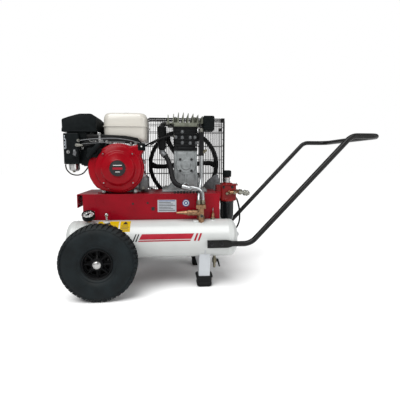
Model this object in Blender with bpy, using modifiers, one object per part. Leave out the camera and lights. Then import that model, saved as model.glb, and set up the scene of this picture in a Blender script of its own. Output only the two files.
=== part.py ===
"""Wheelbarrow air compressor: petrol engine, belt-driven twin-cylinder pump and two tanks on two wheels.

X runs along the tanks (wheels at -X, push handle at +X), Y across (recoil starter at -Y, belt at +Y),
Z is up and the ground is Z = 0.  The origin is under the middle of the whole machine.  Metres.
"""
import math

import bmesh
import bpy
from mathutils import Matrix, Vector

# ---------------------------------------------------------------- driving dimensions
GAP = 0.0003                # air left between touching pieces
FIT = 0.0003                # radial clearance of a shaft in its hole

WHEEL_R, WHEEL_HALF = 0.150, 0.045
RIM_R, HUB_HALF = 0.0597, 0.036
AXLE_X, WHEEL_Y, AXLE_R = -0.492, 0.285, 0.010

TANK_R, TANK_LEN, TANK_WALL, DOME = 0.079, 0.713, 0.003, 0.032
TANK_X, TANK_Y, TANK_Z = -0.2845, 0.155, 0.213
PORT_X, PORT_R = 0.020, 0.005

SHEET = 0.003
BASE_X0, BASE_X1 = -0.577, -0.0010
BASE_Y0, BASE_Y1, BASE_TOP = -0.150, 0.125, 0.402
FLANGE_X, FLANGE_DROP = -0.600, 0.0565

LEG_X0, LEG_X1, CROSS_LOW, LEG_LOW, LEG_TOP = -0.0945, -0.0475, 0.077, 0.012, 0.158
FOOT_Y, FOOT_TOP = 0.155, 0.050

TUBE_R, HANDLE_Y, HANDLE_Z, GRIP_Z = 0.011, 0.250, 0.2036, 0.642
HANDLE_END_X, FLAT_X, LOWER_BEND_X, UPPER_BEND_X, BAR_X = -0.065, 0.024, 0.113, 0.5255, 0.651
HANDLE_BOLTS_X = (-0.047, -0.006)

ENG_X, ENG_Z, ENG_SHAFT_R = -0.428, 0.510, 0.012
CASE_Y0, CASE_Y1 = -0.075, 0.085
COVER_FRONT, COVER_BACK, COVER_R = -0.140, -0.0858, 0.105

PUMP_X, PUMP_Z, THROW = -0.1435, 0.523, 0.016
PUMP_Y0, PUMP_Y1, BORE_Y, BORE_R, CHAMBER_R = -0.080, 0.100, 0.036, 0.0255, 0.0325
BLOCK_LOW, BLOCK_TOP = 0.586, 0.689
PUMP_SHAFT_R = 0.013

BELT_Y, WHEEL_PULLEY_R, ENGINE_PULLEY_R, BELT_HALF = 0.155, 0.176, 0.060, 0.0045
GUARD = ((0.064, 0.335), (0.064, 0.755), (-0.310, 0.755), (-0.516, 0.640), (-0.516, 0.400), (-0.440, 0.335))
GUARD_Y0, GUARD_Y1 = 0.128, 0.210

MANIFOLD_X, MANIFOLD_Y = -0.086, -0.185
GAUGE_FACE, GAUGE_LEAN = Vector((-0.544, -0.200, 0.330)), math.radians(29)
REG_X, REG_Y = 0.052, -0.020
REG_LEFT, REG_RIGHT = 0.0205, 0.0915
COUPLER_ROOT = Vector((REG_RIGHT + 0.0018, -0.030, 0.401))
COUPLER_DIR = Vector((0.985, 0.0, -0.173)).normalized()
DRAIN_X = -0.024

UP, ALONG, ACROSS = Vector((0, 0, 1)), Vector((1, 0, 0)), Vector((0, 1, 0))


# ---------------------------------------------------------------- scene and materials
def clear_scene():
    for old in list(bpy.data.objects):
        bpy.data.objects.remove(old, do_unlink=True)


def new_collection(name):
    group = bpy.data.collections.new(name)
    bpy.context.scene.collection.children.link(group)
    return group


def material(name, colour, rough, metal=0.0):
    mat = bpy.data.materials.new(name)
    mat.use_nodes = True
    shader = mat.node_tree.nodes["Principled BSDF"]
    shader.inputs["Base Color"].default_value = (*colour, 1.0)
    shader.inputs["Roughness"].default_value = rough
    shader.inputs["Metallic"].default_value = metal
    return mat


clear_scene()
PARTS = new_collection("wheelbarrow_air_compressor")
CUTTERS = new_collection("cutters")
WHITE = material("tank_white", (0.70, 0.71, 0.70), 0.35)
RED = material("frame_red", (0.30, 0.005, 0.020), 0.30)
BRIGHT_RED = material("engine_red", (0.42, 0.004, 0.018), 0.25)
CREAM = material("fuel_cream", (0.63, 0.60, 0.53), 0.35)
BLACK = material("black_plastic", (0.012, 0.014, 0.015), 0.55)
BLACK_METAL = material("black_metal", (0.010, 0.010, 0.009), 0.35)
TYRE = material("tyre_rubber", (0.010, 0.014, 0.016), 0.75)
RUBBER = material("rubber", (0.015, 0.015, 0.016), 0.70)
CAST = material("cast_aluminium", (0.42, 0.43, 0.42), 0.50, 0.8)
DARK_CAST = material("dark_cast", (0.05, 0.055, 0.055), 0.55, 0.5)
STEEL = material("steel", (0.60, 0.60, 0.60), 0.25, 1.0)
BRASS = material("brass", (0.60, 0.35, 0.12), 0.30, 1.0)


# ---------------------------------------------------------------- building helpers
def place(obj, mat, origin=None):
    """Link a part, give it its material and, where asked, put its origin on its joint's axis."""
    if origin is not None:
        shift = obj.matrix_world.inverted() @ Vector(origin)
        obj.data.transform(Matrix.Translation(-shift))
        obj.location = Vector(origin)
    obj.data.materials.append(mat)
    PARTS.objects.link(obj)
    return obj


def from_bmesh(name, bm):
    mesh = bpy.data.meshes.new(name)
    bm.to_mesh(mesh)
    bm.free()
    return bpy.data.objects.new(name, mesh)


def box(name, low, high, bevel=0.0, segments=2):
    low, high = Vector(low), Vector(high)
    bm = bmesh.new()
    bmesh.ops.create_cube(bm, size=1.0)
    bmesh.ops.scale(bm, vec=high - low, verts=bm.verts)
    bmesh.ops.translate(bm, vec=(low + high) / 2, verts=bm.verts)
    if bevel:
        bmesh.ops.bevel(bm, geom=bm.edges[:], offset=bevel, segments=segments, profile=0.5, affect="EDGES")
    return from_bmesh(name, bm)


def rod(name, start, end, radius, sides=16, end_radius=None):
    """Solid cylinder or cone between two points."""
    start, end = Vector(start), Vector(end)
    axis = end - start
    turn = UP.rotation_difference(axis).to_matrix().to_4x4()
    bm = bmesh.new()
    bmesh.ops.create_cone(bm, cap_ends=True, segments=sides, radius1=radius,
                          radius2=radius if end_radius is None else end_radius, depth=axis.length,
                          matrix=Matrix.Translation((start + end) / 2) @ turn)
    obj = from_bmesh(name, bm)
    obj.data.shade_smooth()
    obj.data.set_sharp_from_angle(angle=math.radians(40))
    return obj


def turned(name, chains, at, axis, steps):
    """Screw one or more (radius, height) chains about an axis.  A closed chain ends where it starts."""
    verts, edges = [], []
    for chain in chains:
        closed = chain[0] == chain[-1]
        first, points = len(verts), chain[:-1] if closed else chain
        verts += [(radius, 0.0, height) for radius, height in points]
        edges += [(first + i, first + i + 1) for i in range(len(points) - 1)]
        if closed:
            edges.append((first + len(points) - 1, first))
    mesh = bpy.data.meshes.new(name)
    mesh.from_pydata(verts, edges, [])
    obj = bpy.data.objects.new(name, mesh)
    obj.location = at
    obj.rotation_mode = "QUATERNION"
    obj.rotation_quaternion = UP.rotation_difference(Vector(axis))
    screw = obj.modifiers.new("turn", "SCREW")
    screw.steps = screw.render_steps = steps
    screw.use_merge_vertices = True
    screw.merge_threshold = 1e-5
    screw.use_smooth_shade = True
    return obj


def plate(name, outlines, low, high, normal):
    """Flat outline(s), the later ones holes, made solid from low to high along the normal axis X, Y or Z."""
    axes = {"X": (ACROSS, UP, ALONG), "Y": (ALONG, UP, -ACROSS), "Z": (ALONG, ACROSS, UP)}[normal]
    curve = bpy.data.curves.new(name, "CURVE")
    curve.dimensions = "2D"
    curve.fill_mode = "BOTH"
    curve.extrude = (high - low) / 2
    for outline in outlines:
        spline = curve.splines.new("POLY")
        spline.points.add(len(outline) - 1)
        for point, (u, v) in zip(spline.points, outline):
            point.co = (u, v, 0.0, 1.0)
        spline.use_cyclic_u = True
    obj = bpy.data.objects.new(name, curve)
    turn = Matrix([axes[0], axes[1], axes[2]]).transposed().to_4x4()
    middle = (low + high) / 2
    obj.matrix_world = Matrix.Translation(middle * (axes[2] if normal != "Y" else ACROSS)) @ turn
    return to_mesh(obj)


def to_mesh(curve_obj):
    """Turn a curve object into a welded mesh object in world coordinates."""
    name, world = curve_obj.name, curve_obj.matrix_world.copy()
    bpy.context.scene.collection.objects.link(curve_obj)
    bpy.context.view_layer.update()
    graph = bpy.context.evaluated_depsgraph_get()
    mesh = bpy.data.meshes.new_from_object(curve_obj.evaluated_get(graph))
    bpy.data.objects.remove(curve_obj, do_unlink=True)
    bm = bmesh.new()
    bm.from_mesh(mesh)
    bmesh.ops.remove_doubles(bm, verts=bm.verts, dist=1e-5)
    bmesh.ops.transform(bm, matrix=world, verts=bm.verts)
    bmesh.ops.recalc_face_normals(bm, faces=bm.faces)
    bm.to_mesh(mesh)
    bm.free()
    return bpy.data.objects.new(name, mesh)


def smooth_route(points, per_span=3):
    """Catmull-Rom curve through the points of a hose or pipe."""
    ends = [2 * Vector(points[0]) - Vector(points[1])], [2 * Vector(points[-1]) - Vector(points[-2])]
    p = ends[0] + [Vector(q) for q in points] + ends[1]
    route = []
    for i in range(1, len(p) - 2):
        for k in range(per_span):
            t = k / per_span
            route.append(0.5 * (2 * p[i] + (p[i + 1] - p[i - 1]) * t
                                + (2 * p[i - 1] - 5 * p[i] + 4 * p[i + 1] - p[i + 2]) * t ** 2
                                + (3 * p[i] - p[i - 1] - 3 * p[i + 1] + p[i + 2]) * t ** 3))
    return route + [p[-2]]


def tube(name, route, radius, resolution=2):
    """Round tube along a route of points, as a bevelled curve with filled caps."""
    curve = bpy.data.curves.new(name, "CURVE")
    curve.dimensions = "3D"
    curve.bevel_depth = radius
    curve.bevel_resolution = resolution
    curve.use_fill_caps = True
    spline = curve.splines.new("POLY")
    spline.points.add(len(route) - 1)
    for point, co in zip(spline.points, route):
        point.co = (*co, 1.0)
    return bpy.data.objects.new(name, curve)


def boolean(obj, other, operation):
    step = obj.modifiers.new(operation.lower(), "BOOLEAN")
    step.operation = operation
    step.object = other
    other.hide_render = True
    other.display_type = "WIRE"
    CUTTERS.objects.link(other)


def cut(obj, *cutters):
    for cutter in cutters:
        boolean(obj, cutter, "DIFFERENCE")
    return obj


def weld(obj, *others):
    for other in others:
        boolean(obj, other, "UNION")
    return obj


def arc(centre, radius, start_deg, end_deg, steps):
    """Points of an arc in a plane, both ends included."""
    turn = [math.radians(start_deg + (end_deg - start_deg) * i / steps) for i in range(steps + 1)]
    return [(centre[0] + radius * math.cos(a), centre[1] + radius * math.sin(a)) for a in turn]


def circle(centre, radius, steps):
    return arc(centre, radius, 0, 360, steps)[:-1]


def comb(x0, x1, low, root, tips, tooth):
    """Outline of a finned casting: a bar from low to root with one tooth for each tip height."""
    pitch = (x1 - x0 - tooth) / (len(tips) - 1)
    top = []
    for i, tip in enumerate(tips):
        left = x0 + i * pitch
        top += [(left, root), (left, tip), (left + tooth, tip), (left + tooth, root)]
    top[0], top[-1] = (x0, low), (x1, low)
    return top


def tank_cutter(side, name):
    """A tank-sized cylinder for shaping whatever sits against a tank."""
    y = side * TANK_Y
    return rod(name, (-0.75, y, TANK_Z), (0.10, y, TANK_Z), TANK_R + 2.5 * GAP, 48)


# ---------------------------------------------------------------- tanks and frame
def build_tank(name, side):
    half = TANK_LEN / 2
    outer, inner = [], []
    for i in range(4):
        angle = math.radians(90 * i / 3)
        rise, reach = math.cos(angle), math.sin(angle) ** 0.8
        outer.append((TANK_R * reach, half - DOME + DOME * rise))
        inner.append(((TANK_R - TANK_WALL) * reach, half - DOME + (DOME - TANK_WALL) * rise))
    outer += [(r, -h) for r, h in reversed(outer)]
    inner += [(r, -h) for r, h in reversed(inner)]
    tank = turned(name, [outer, inner[::-1]], (TANK_X, side * TANK_Y, TANK_Z), ALONG, 20)
    port_y = side * (TANK_Y - TANK_R)
    cut(tank, rod(name + "_port", (PORT_X, port_y - 0.01, TANK_Z), (PORT_X, port_y + 0.01, TANK_Z), PORT_R, 10))
    wall_y = side * (TANK_Y + TANK_R - TANK_WALL - 0.0002)
    for number, x in enumerate(HANDLE_BOLTS_X):
        boss = rod(f"{name}_boss_{number}", (x, wall_y, HANDLE_Z), (x, side * 0.2465, HANDLE_Z), 0.009, 12)
        weld(tank, boss)
    place(tank, WHITE)


def build_base_plate():
    skirt_low = TANK_Z + TANK_R + 0.0005
    rear_low = skirt_low - 0.005
    inner_y0, inner_y1, under = BASE_Y0 + SHEET, BASE_Y1 - SHEET, BASE_TOP - SHEET
    channel = [(BASE_Y0, skirt_low), (inner_y0, skirt_low), (inner_y0, under), (inner_y1, under),
               (inner_y1, rear_low), (BASE_Y1, rear_low), (BASE_Y1, BASE_TOP), (BASE_Y0, BASE_TOP)]
    base = plate("base_plate", [channel], BASE_X0, BASE_X1, "X")
    lip = BASE_TOP - FLANGE_DROP
    lap = 0.010
    tab = REG_LEFT - GAP
    weld(base,
         box("base_tongue", (FLANGE_X, BASE_Y0, under), (BASE_X0 + lap, BASE_Y1, BASE_TOP)),
         box("base_left_flange", (FLANGE_X, BASE_Y0, lip), (FLANGE_X + SHEET, BASE_Y1, BASE_TOP)),
         box("base_right_flange", (BASE_X1 - SHEET, inner_y0 - 0.001, lip),
             (BASE_X1, inner_y1 + 0.001, under + 0.001)),
         box("bracket_arm", (BASE_X1 - lap, REG_Y - 0.025, under), (tab, REG_Y + 0.025, BASE_TOP)),
         box("bracket_web", (BASE_X1 - lap, REG_Y - 0.025, 0.378), (tab, REG_Y - 0.022, BASE_TOP)),
         box("bracket_tab", (tab - SHEET, REG_Y - 0.025, 0.368), (tab, REG_Y + 0.025, BASE_TOP)))
    through = (BASE_Y0 - 0.005, BASE_Y0 + 0.005)
    for number, (x, z, radius, sides) in enumerate(((-0.3713, 0.361, 0.004, 10), (-0.3094, 0.3635, 0.004, 10),
                                                    (-0.287, 0.3388, 0.008, 4))):
        cut(base, rod(f"skirt_hole_{number}", (x, through[0], z), (x, through[1], z), radius, sides))
    place(base, RED)


def build_leg_frame():
    """Folded cradle under both tanks: a web across the machine and a sloping leg face at each end."""
    half = [(0.125, CROSS_LOW), (0.135, LEG_LOW), (0.176, LEG_LOW), (0.214, LEG_TOP)]
    outline = half + [(-y, z) for y, z in reversed(half)]
    frame = plate("leg_frame", [outline], LEG_X0, LEG_X0 + SHEET, "X")
    for side, name in ((-1, "near"), (1, "far")):
        slope = (0.176, LEG_LOW), (0.214, LEG_TOP), (0.211, LEG_TOP), (0.173, LEG_LOW)
        face = [(side * y, z) for y, z in slope]
        weld(frame, plate(f"leg_face_{name}", [face], LEG_X0 + 0.0005, LEG_X1, "X"))
    cut(frame, tank_cutter(-1, "leg_saddle_near"), tank_cutter(1, "leg_saddle_far"))
    place(frame, WHITE)


def build_foot(name, side):
    """Rubber boot on a leg, with an L-shaped pocket for the folded leg."""
    x0, x1 = LEG_X0 - 0.0075, LEG_X1 + 0.0105
    foot = box(name, (x0, side * FOOT_Y - 0.031, 0.0), (x1, side * FOOT_Y + 0.031, FOOT_TOP), 0.008, 2)
    clear, high = 0.0008, FOOT_TOP + 0.01
    low = LEG_LOW - GAP
    pocket = [(side * y, z) for y, z in ((0.1335, low), (0.1768, low), (0.1892, high), (0.1272, high))]
    cut(foot, plate(name + "_web_pocket", [pocket], LEG_X0 - clear, LEG_X0 + SHEET + clear, "X"))
    face = [(side * y, z) for y, z in ((0.1722, low), (0.1768, low), (0.1892, high), (0.1840, high))]
    cut(foot, plate(name + "_face_pocket", [face], LEG_X0, LEG_X1 + clear, "X"))
    place(foot, RUBBER)


def build_axle_frame():
    """Cradle under both tanks whose end blocks hold the two axle bolts."""
    low, high, block_in, block_out = 0.100, 0.185, 0.195, 0.2325
    web = [(-block_out, 0.125), (-block_out, high), (block_out, high), (block_out, 0.125),
           (0.17, low), (-0.17, low)]
    frame = plate("axle_frame", [web], AXLE_X - 0.003, AXLE_X + 0.003, "X")
    weld(frame, box("axle_frame_foot", (AXLE_X - 0.022, -0.168, low), (AXLE_X + 0.022, 0.168, low + SHEET)))
    for side, name in ((-1, "near"), (1, "far")):
        ys = sorted((side * block_in, side * block_out))
        weld(frame, box(f"axle_block_{name}", (AXLE_X - 0.022, ys[0], 0.127), (AXLE_X + 0.022, ys[1], 0.183)))
    cut(frame, tank_cutter(-1, "axle_saddle_near"), tank_cutter(1, "axle_saddle_far"),
        box("axle_frame_window", (AXLE_X - 0.03, -0.060, 0.120), (AXLE_X + 0.03, 0.060, 0.20)))
    for side, name in ((-1, "near"), (1, "far")):
        cut(frame, rod(f"axle_hole_{name}", (AXLE_X, side * 0.2148, WHEEL_R), (AXLE_X, side * 0.24, WHEEL_R),
                       AXLE_R + FIT, 20))
    place(frame, BLACK_METAL)


def build_axle(name, side):
    """Shoulder bolt: thread end in the cradle, collar, bearing length in the hub, round head outside."""
    collar, head, outer, root = HUB_HALF, -HUB_HALF, -WHEEL_HALF, WHEEL_Y - 0.2152
    chain = [(0, root), (AXLE_R, root), (AXLE_R, WHEEL_Y - 0.2328), (0.014, WHEEL_Y - 0.2328),
             (0.014, collar + GAP), (AXLE_R, collar + GAP), (AXLE_R, head - GAP), (0.013, head - GAP),
             (0.013, outer + 0.003), (0.010, outer), (0, outer)]
    axle = turned(name, [chain], (AXLE_X, side * WHEEL_Y, WHEEL_R), (0, -side, 0), 14)
    place(axle, STEEL)


def build_wheel(name, side):
    centre = (AXLE_X, side * WHEEL_Y, WHEEL_R)
    tread, bead = 0.020, RIM_R + GAP
    side_wall = [(bead, 0.029), (0.100, WHEEL_HALF), (0.138, 0.040), (WHEEL_R, tread)]
    lining = [(bead, 0.022), (0.100, 0.036), (0.138, 0.020)]
    tyre = side_wall + [(r, -h) for r, h in reversed(side_wall)] + [(r, -h) for r, h in lining]
    tyre += [(r, h) for r, h in reversed(lining)] + [side_wall[0]]
    place(turned(f"tyre_{name}", [tyre], centre, (0, -side, 0), 24), TYRE)
    half = [(AXLE_R + FIT, HUB_HALF), (0.022, HUB_HALF), (0.022, 0.008), (0.050, 0.006), (0.054, 0.031),
            (RIM_R, 0.031)]
    rim = half + [(r, -h) for r, h in reversed(half)] + [half[0]]
    place(turned(f"rim_{name}", [rim], centre, (0, -side, 0), 24), BLACK_METAL)


def corner(a, b, c, radius, steps):
    """Points of a rounded bend at b between a and c."""
    a, b, c = Vector(a), Vector(b), Vector(c)
    into, out = (b - a).normalized(), (c - b).normalized()
    half = into.angle(out) / 2
    centre = b + (out - into).normalized() * radius / math.cos(half)
    start = b - into * radius * math.tan(half)
    axis = into.cross(out).normalized()
    turns = [Matrix.Rotation(2 * half * i / steps, 3, axis) for i in range(steps + 1)]
    return [centre + turn @ (start - centre) for turn in turns]


def build_handle():
    """One bent tube; its two ends are pressed flat where they bolt to the tanks."""
    end = Vector((HANDLE_END_X, -HANDLE_Y, HANDLE_Z))
    low = Vector((LOWER_BEND_X, -HANDLE_Y, HANDLE_Z))
    high = Vector((UPPER_BEND_X, -HANDLE_Y, GRIP_Z))
    turn = Vector((BAR_X, -HANDLE_Y, GRIP_Z))
    middle = Vector((BAR_X, 0.0, GRIP_Z))
    half = [end, Vector((FLAT_X, -HANDLE_Y, HANDLE_Z)), Vector((FLAT_X + 0.028, -HANDLE_Y, HANDLE_Z))]
    half += corner(end, low, high, 0.065, 4) + corner(low, high, turn, 0.055, 4)
    half += corner(high, turn, middle, 0.048, 5)
    route = half + [Vector((p.x, -p.y, p.z)) for p in reversed(half)]
    handle = to_mesh(tube("handle", route, TUBE_R, 2))
    for vertex in handle.data.vertices:
        if vertex.co.x < FLAT_X + 0.014:
            side = math.copysign(HANDLE_Y, vertex.co.y)
            vertex.co.y = side + (vertex.co.y - side) * 0.29
            vertex.co.z = HANDLE_Z + (vertex.co.z - HANDLE_Z) * 1.5
    place(handle, BLACK_METAL)


# ---------------------------------------------------------------- engine
def build_engine_block():
    case = box("engine_crankcase", (ENG_X - 0.077, CASE_Y0, 0.4085), (ENG_X + 0.083, CASE_Y1, 0.590), 0.012, 2)
    flange = box("engine_feet", (ENG_X - 0.085, CASE_Y0 - 0.010, BASE_TOP + GAP),
                 (ENG_X + 0.085, CASE_Y1 + 0.010, 0.4125))
    chamber = box("engine_hollow", (ENG_X - 0.070, CASE_Y0 + 0.007, 0.418),
                  (ENG_X + 0.076, CASE_Y1 - 0.007, 0.583))
    bore = rod("engine_bore", (ENG_X, -0.2, ENG_Z), (ENG_X, 0.2, ENG_Z), ENG_SHAFT_R + FIT, 20)
    place(cut(weld(case, flange), chamber, bore), CAST)
    fins = comb(0.518, 0.632, -0.505 - GAP, -0.517, [-0.592] * 8, 0.006)
    cylinder = plate("engine_cylinder", [[(x, z) for z, x in fins]], -0.045, 0.045, "Y")
    cut(cylinder, rod("engine_cylinder_bore", (-0.50, 0, 0.575), (-0.58, 0, 0.575), 0.030, 20))
    place(cylinder, CAST)


def build_engine_shaft():
    root, tip = COVER_FRONT + 0.003, 0.182
    cup = root + 0.018
    chain = [(0, tip), (ENG_SHAFT_R, tip), (ENG_SHAFT_R, cup), (0.045, cup), (0.045, root), (0.041, root),
             (0.041, cup - 0.004), (0, cup - 0.004)]
    place(turned("engine_shaft", [chain], (ENG_X, 0, ENG_Z), ACROSS, 14), STEEL)
    half, bore, rim = 0.013, ENG_SHAFT_R + GAP, ENGINE_PULLEY_R
    pulley = [(bore, half), (rim, half), (rim, 0.010), (rim - 0.0105, 0.0048), (rim - 0.0105, -0.0048),
              (rim, -0.010), (rim, -half), (bore, -half), (bore, half)]
    place(turned("engine_pulley", [pulley], (ENG_X, BELT_Y, ENG_Z), ACROSS, 20), DARK_CAST)


def fan_cover_outline(inset):
    """Shroud outline: round about the crank, a lobe to the left, an ear for the switch at upper right."""
    radius = COVER_R - inset
    right = arc((ENG_X, ENG_Z), radius, -100, 30, 9)
    ear = [(ENG_X + 0.109 - inset, ENG_Z + 0.080), (ENG_X + 0.109 - inset, ENG_Z + 0.101 - inset),
           (ENG_X + 0.085, ENG_Z + 0.101 - inset)]
    top = arc((ENG_X, ENG_Z), radius, 62, 125, 4)
    lobe = [(ENG_X - 0.118 + inset, ENG_Z + 0.040 - inset), (ENG_X - 0.127 + inset, ENG_Z + 0.018),
            (ENG_X - 0.122 + inset, ENG_Z - 0.035), (ENG_X - 0.082 + 0.8 * inset, ENG_Z - 0.092 + 0.4 * inset)]
    return right + ear + top + lobe


def build_covers():
    cover = plate("fan_cover", [fan_cover_outline(0.0)], COVER_FRONT, COVER_BACK, "Y")
    hollow = plate("fan_cover_hollow", [fan_cover_outline(0.004)], COVER_FRONT + 0.003, COVER_BACK + 0.01, "Y")
    mouth = rod("fan_cover_mouth", (ENG_X, -0.2, ENG_Z), (ENG_X, COVER_FRONT + 0.01, ENG_Z), 0.070, 24)
    place(cut(cover, hollow, mouth), BRIGHT_RED)
    dish = [(0, 0.030), (0.0325, 0.030), (0.037, 0.026), (0.064, 0.025), (0.072, 0.013), (0.094, 0.008),
            (0.097, 0), (0.091, 0), (0.090, 0.004), (0.070, 0.009), (0.061, 0.021), (0, 0.022)]
    seat = (ENG_X, COVER_FRONT - GAP, ENG_Z)
    place(turned("recoil_cover", [dish], seat, -ACROSS, 20), BRIGHT_RED)
    grip_at, grip_lean = Vector((-0.527, -0.153, 0.583)), math.radians(42)
    grip = box("starter_grip", (-0.011, -0.010, -0.036), (0.011, 0.010, 0.036), 0.006, 2)
    grip.data.transform(Matrix.Translation(grip_at) @ Matrix.Rotation(grip_lean, 4, "Y"))
    place(grip, BLACK, grip_at)
    switch = [(0, 0.018), (0.010, 0.018), (0.012, 0.004), (0.012, GAP), (0, GAP)]
    place(turned("engine_switch", [switch], (ENG_X + 0.097, COVER_FRONT, ENG_Z + 0.090), -ACROSS, 12), BLACK)


def build_fuel_system():
    low, high = (-0.4985, -0.085, 0.6205), (-0.3105, 0.095, 0.7485)
    wall = 0.002
    tank = box("fuel_tank", low, high, 0.022, 3)
    inner = box("fuel_tank_hollow", [v + wall for v in low], [v - wall for v in high], 0.020, 2)
    cap_x, cap_y = -0.406, 0.005
    cut(tank, inner, rod("filler_hole", (cap_x, cap_y, 0.730), (cap_x, cap_y, 0.770), 0.017, 16))
    place(tank, CREAM)
    cap = [(0, 0.0065), (0.024, 0.0065), (0.027, 0.0035), (0.027, 0), (0.0155, 0), (0.0155, -0.016),
           (0, -0.016)]
    place(turned("fuel_cap", [cap], (cap_x, cap_y, high[2] + GAP), UP, 20), BLACK)


def build_air_cleaner():
    outline = [(-0.663, 0.662), (-0.663, 0.676), (-0.660, 0.679), (-0.660, 0.714), (-0.600, 0.7342),
               (-0.585, 0.7374), (-0.539, 0.7374), (-0.519, 0.723), (-0.522, 0.662)]
    cover = plate("air_cleaner_cover", [outline], -0.115, 0.045, "Y")
    inner = box("air_cleaner_hollow", (-0.655, -0.111, 0.65), (-0.526, 0.041, 0.711))
    place(cut(cover, inner), BLACK)
    base = box("air_cleaner_base", (-0.643, -0.108, 0.6010), (-0.560, -0.050, 0.6980), 0.006, 1)
    place(cut(base, rod("intake_bore", (-0.62, -0.08, 0.59), (-0.62, -0.08, 0.71), 0.014, 16)), BLACK)


def build_carburettor():
    panel = box("control_panel", (-0.652, -0.130, 0.527), (-0.590, -0.1085, 0.655), 0.003, 1)
    place(panel, BLACK)
    body = box("carburettor", (-0.645, -0.108, 0.532), (-0.5955, -0.052, 0.6005), 0.005, 1)
    bowl = turned("carburettor_bowl", [[(0, 0.04), (0.019, 0.04), (0.020, 0.006), (0.015, 0), (0.005, -0.003),
                                         (0, -0.003)]], (-0.620, -0.083, 0.499), UP, 16)
    place(weld(body, bowl), CAST)
    pivot = (-0.598, -0.132, 0.6055)
    choke_end = [(-0.573, 0.6025), (-0.573, 0.6085)]
    choke = plate("choke_lever", [arc((-0.598, 0.6055), 0.006, 90, 270, 5) + choke_end], -0.1335, -0.1303, "Y")
    place(choke, STEEL, pivot)
    pivot = (-0.506, -0.1175, 0.6235)
    throttle_end = [(-0.503, 0.657), (-0.509, 0.657)]
    throttle = plate("throttle_lever", [arc((-0.506, 0.6235), 0.006, 180, 360, 5) + throttle_end],
                     -0.119, -0.116, "Y")
    place(throttle, STEEL, pivot)
    hose = [(-0.648, -0.120, 0.5262), (-0.648, -0.120, 0.518), (-0.646, -0.112, 0.503), (-0.632, -0.102, 0.486),
            (-0.608, -0.098, 0.4805), (-0.587, -0.092, 0.487), (-0.574, -0.080, 0.503), (-0.569, -0.066, 0.516),
            (-0.567, -0.052, 0.524), (-0.566, -0.0455, 0.528)]
    place(tube("vent_hose", smooth_route(hose, 2), 0.0027, 1), RUBBER)


def build_muffler():
    muffler = box("muffler", (-0.5715, 0.049, 0.600), (-0.5005, 0.124, 0.722), 0.010, 2)
    inner = box("muffler_hollow", (-0.5695, 0.051, 0.602), (-0.5025, 0.122, 0.720), 0.009, 2)
    outlet = rod("muffler_outlet", (-0.60, 0.10, 0.690), (-0.55, 0.10, 0.690), 0.009, 12)
    place(cut(muffler, inner, outlet), BLACK_METAL)


# ---------------------------------------------------------------- pump
def build_pump_case():
    left, right, low = PUMP_X - 0.0505, PUMP_X + 0.0505, BASE_TOP + GAP
    outline = [(-0.249, low), (-0.050, low), (-0.050, 0.414), (right, 0.4275), (right, BLOCK_LOW),
               (left, BLOCK_LOW), (left, 0.4275), (-0.249, 0.414)]
    case = plate("pump_crankcase", [outline], PUMP_Y0, PUMP_Y1, "Y")
    cut(case, rod("crank_chamber", (PUMP_X, PUMP_Y0 - 0.01, PUMP_Z), (PUMP_X, 0.072, PUMP_Z), CHAMBER_R, 28),
        box("sump", (left + 0.007, PUMP_Y0 + 0.012, 0.409), (right - 0.007, 0.072, 0.500)),
        rod("rear_bearing", (PUMP_X, 0.05, PUMP_Z), (PUMP_X, 0.15, PUMP_Z), PUMP_SHAFT_R + FIT, 20))
    for number, y in enumerate((-BORE_Y, BORE_Y)):
        cut(case, rod(f"spigot_{number}", (PUMP_X, y, PUMP_Z), (PUMP_X, y, 0.62), BORE_R, 20))
    place(case, CAST)
    front = 0.0083
    cover = [(0, front + 0.004), (0.020, front + 0.004), (0.024, front), (0.042, front), (0.042, GAP),
             (0.0320, GAP), (0.0320, -0.009), (0.0103, -0.009), (0.0103, 0.004), (0, 0.004)]
    place(turned("bearing_cover", [cover], (PUMP_X, PUMP_Y0, PUMP_Z), -ACROSS, 20), CAST)


def build_cylinders():
    wide, narrow, slot, draft = 0.0515, 0.0435, 0.009, 0.0005
    edge = [(wide, BLOCK_LOW + GAP)]
    for z in (0.600, 0.618, 0.636, 0.654):
        edge += [(wide, z), (narrow, z + draft), (narrow, z + slot - draft), (wide, z + slot)]
    edge.append((wide, BLOCK_TOP))
    outline = [(PUMP_X + r, z) for r, z in edge] + [(PUMP_X - r, z) for r, z in reversed(edge)]
    block = plate("cylinder_block", [outline], -0.085, 0.085, "Y")
    for number, y in enumerate((-BORE_Y, BORE_Y)):
        cut(block, rod(f"bore_{number}", (PUMP_X, y, 0.571), (PUMP_X, y, 0.713), BORE_R, 22))
    place(block, BLACK_METAL)
    highest = BLOCK_TOP - 0.005
    for name, y, crown in (("piston_near", -BORE_Y, highest), ("piston_far", BORE_Y, highest - 2 * THROW)):
        r = BORE_R - 0.0006
        chain = [(0, crown), (r, crown), (r, crown - 0.045), (r - 0.004, crown - 0.045),
                 (r - 0.004, crown - 0.006), (0, crown - 0.006)]
        place(turned(name, [chain], (PUMP_X, y, 0), UP, 20), CAST)


def build_head():
    tips = [0.7405, 0.744, 0.750, 0.750, 0.748, 0.746, 0.742, 0.736]
    outline = comb(-0.222, -0.068, BLOCK_TOP + GAP, 0.707, tips, 0.0055)
    place(plate("pump_head", [outline], -0.090, 0.090, "Y"), CAST)
    place(box("intake_filter", (-0.0672, -0.105, 0.672), (-0.019, -0.035, 0.736), 0.004, 1), BLACK)
    fin, core, pitch, height = 0.0205, 0.009, 0.025, 0.106
    chain = [(0, height)]
    for number in range(4):
        z = height - number * pitch
        chain += [(fin, z), (fin, z - 0.006), (core, z - 0.007), (core, z - pitch + 0.001)]
    chain += [(fin, 0.006), (fin, 0), (0, 0)]
    place(turned("cooler_column", [chain], (-0.247, -0.080, 0.5885), UP, 12), CAST)


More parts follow.
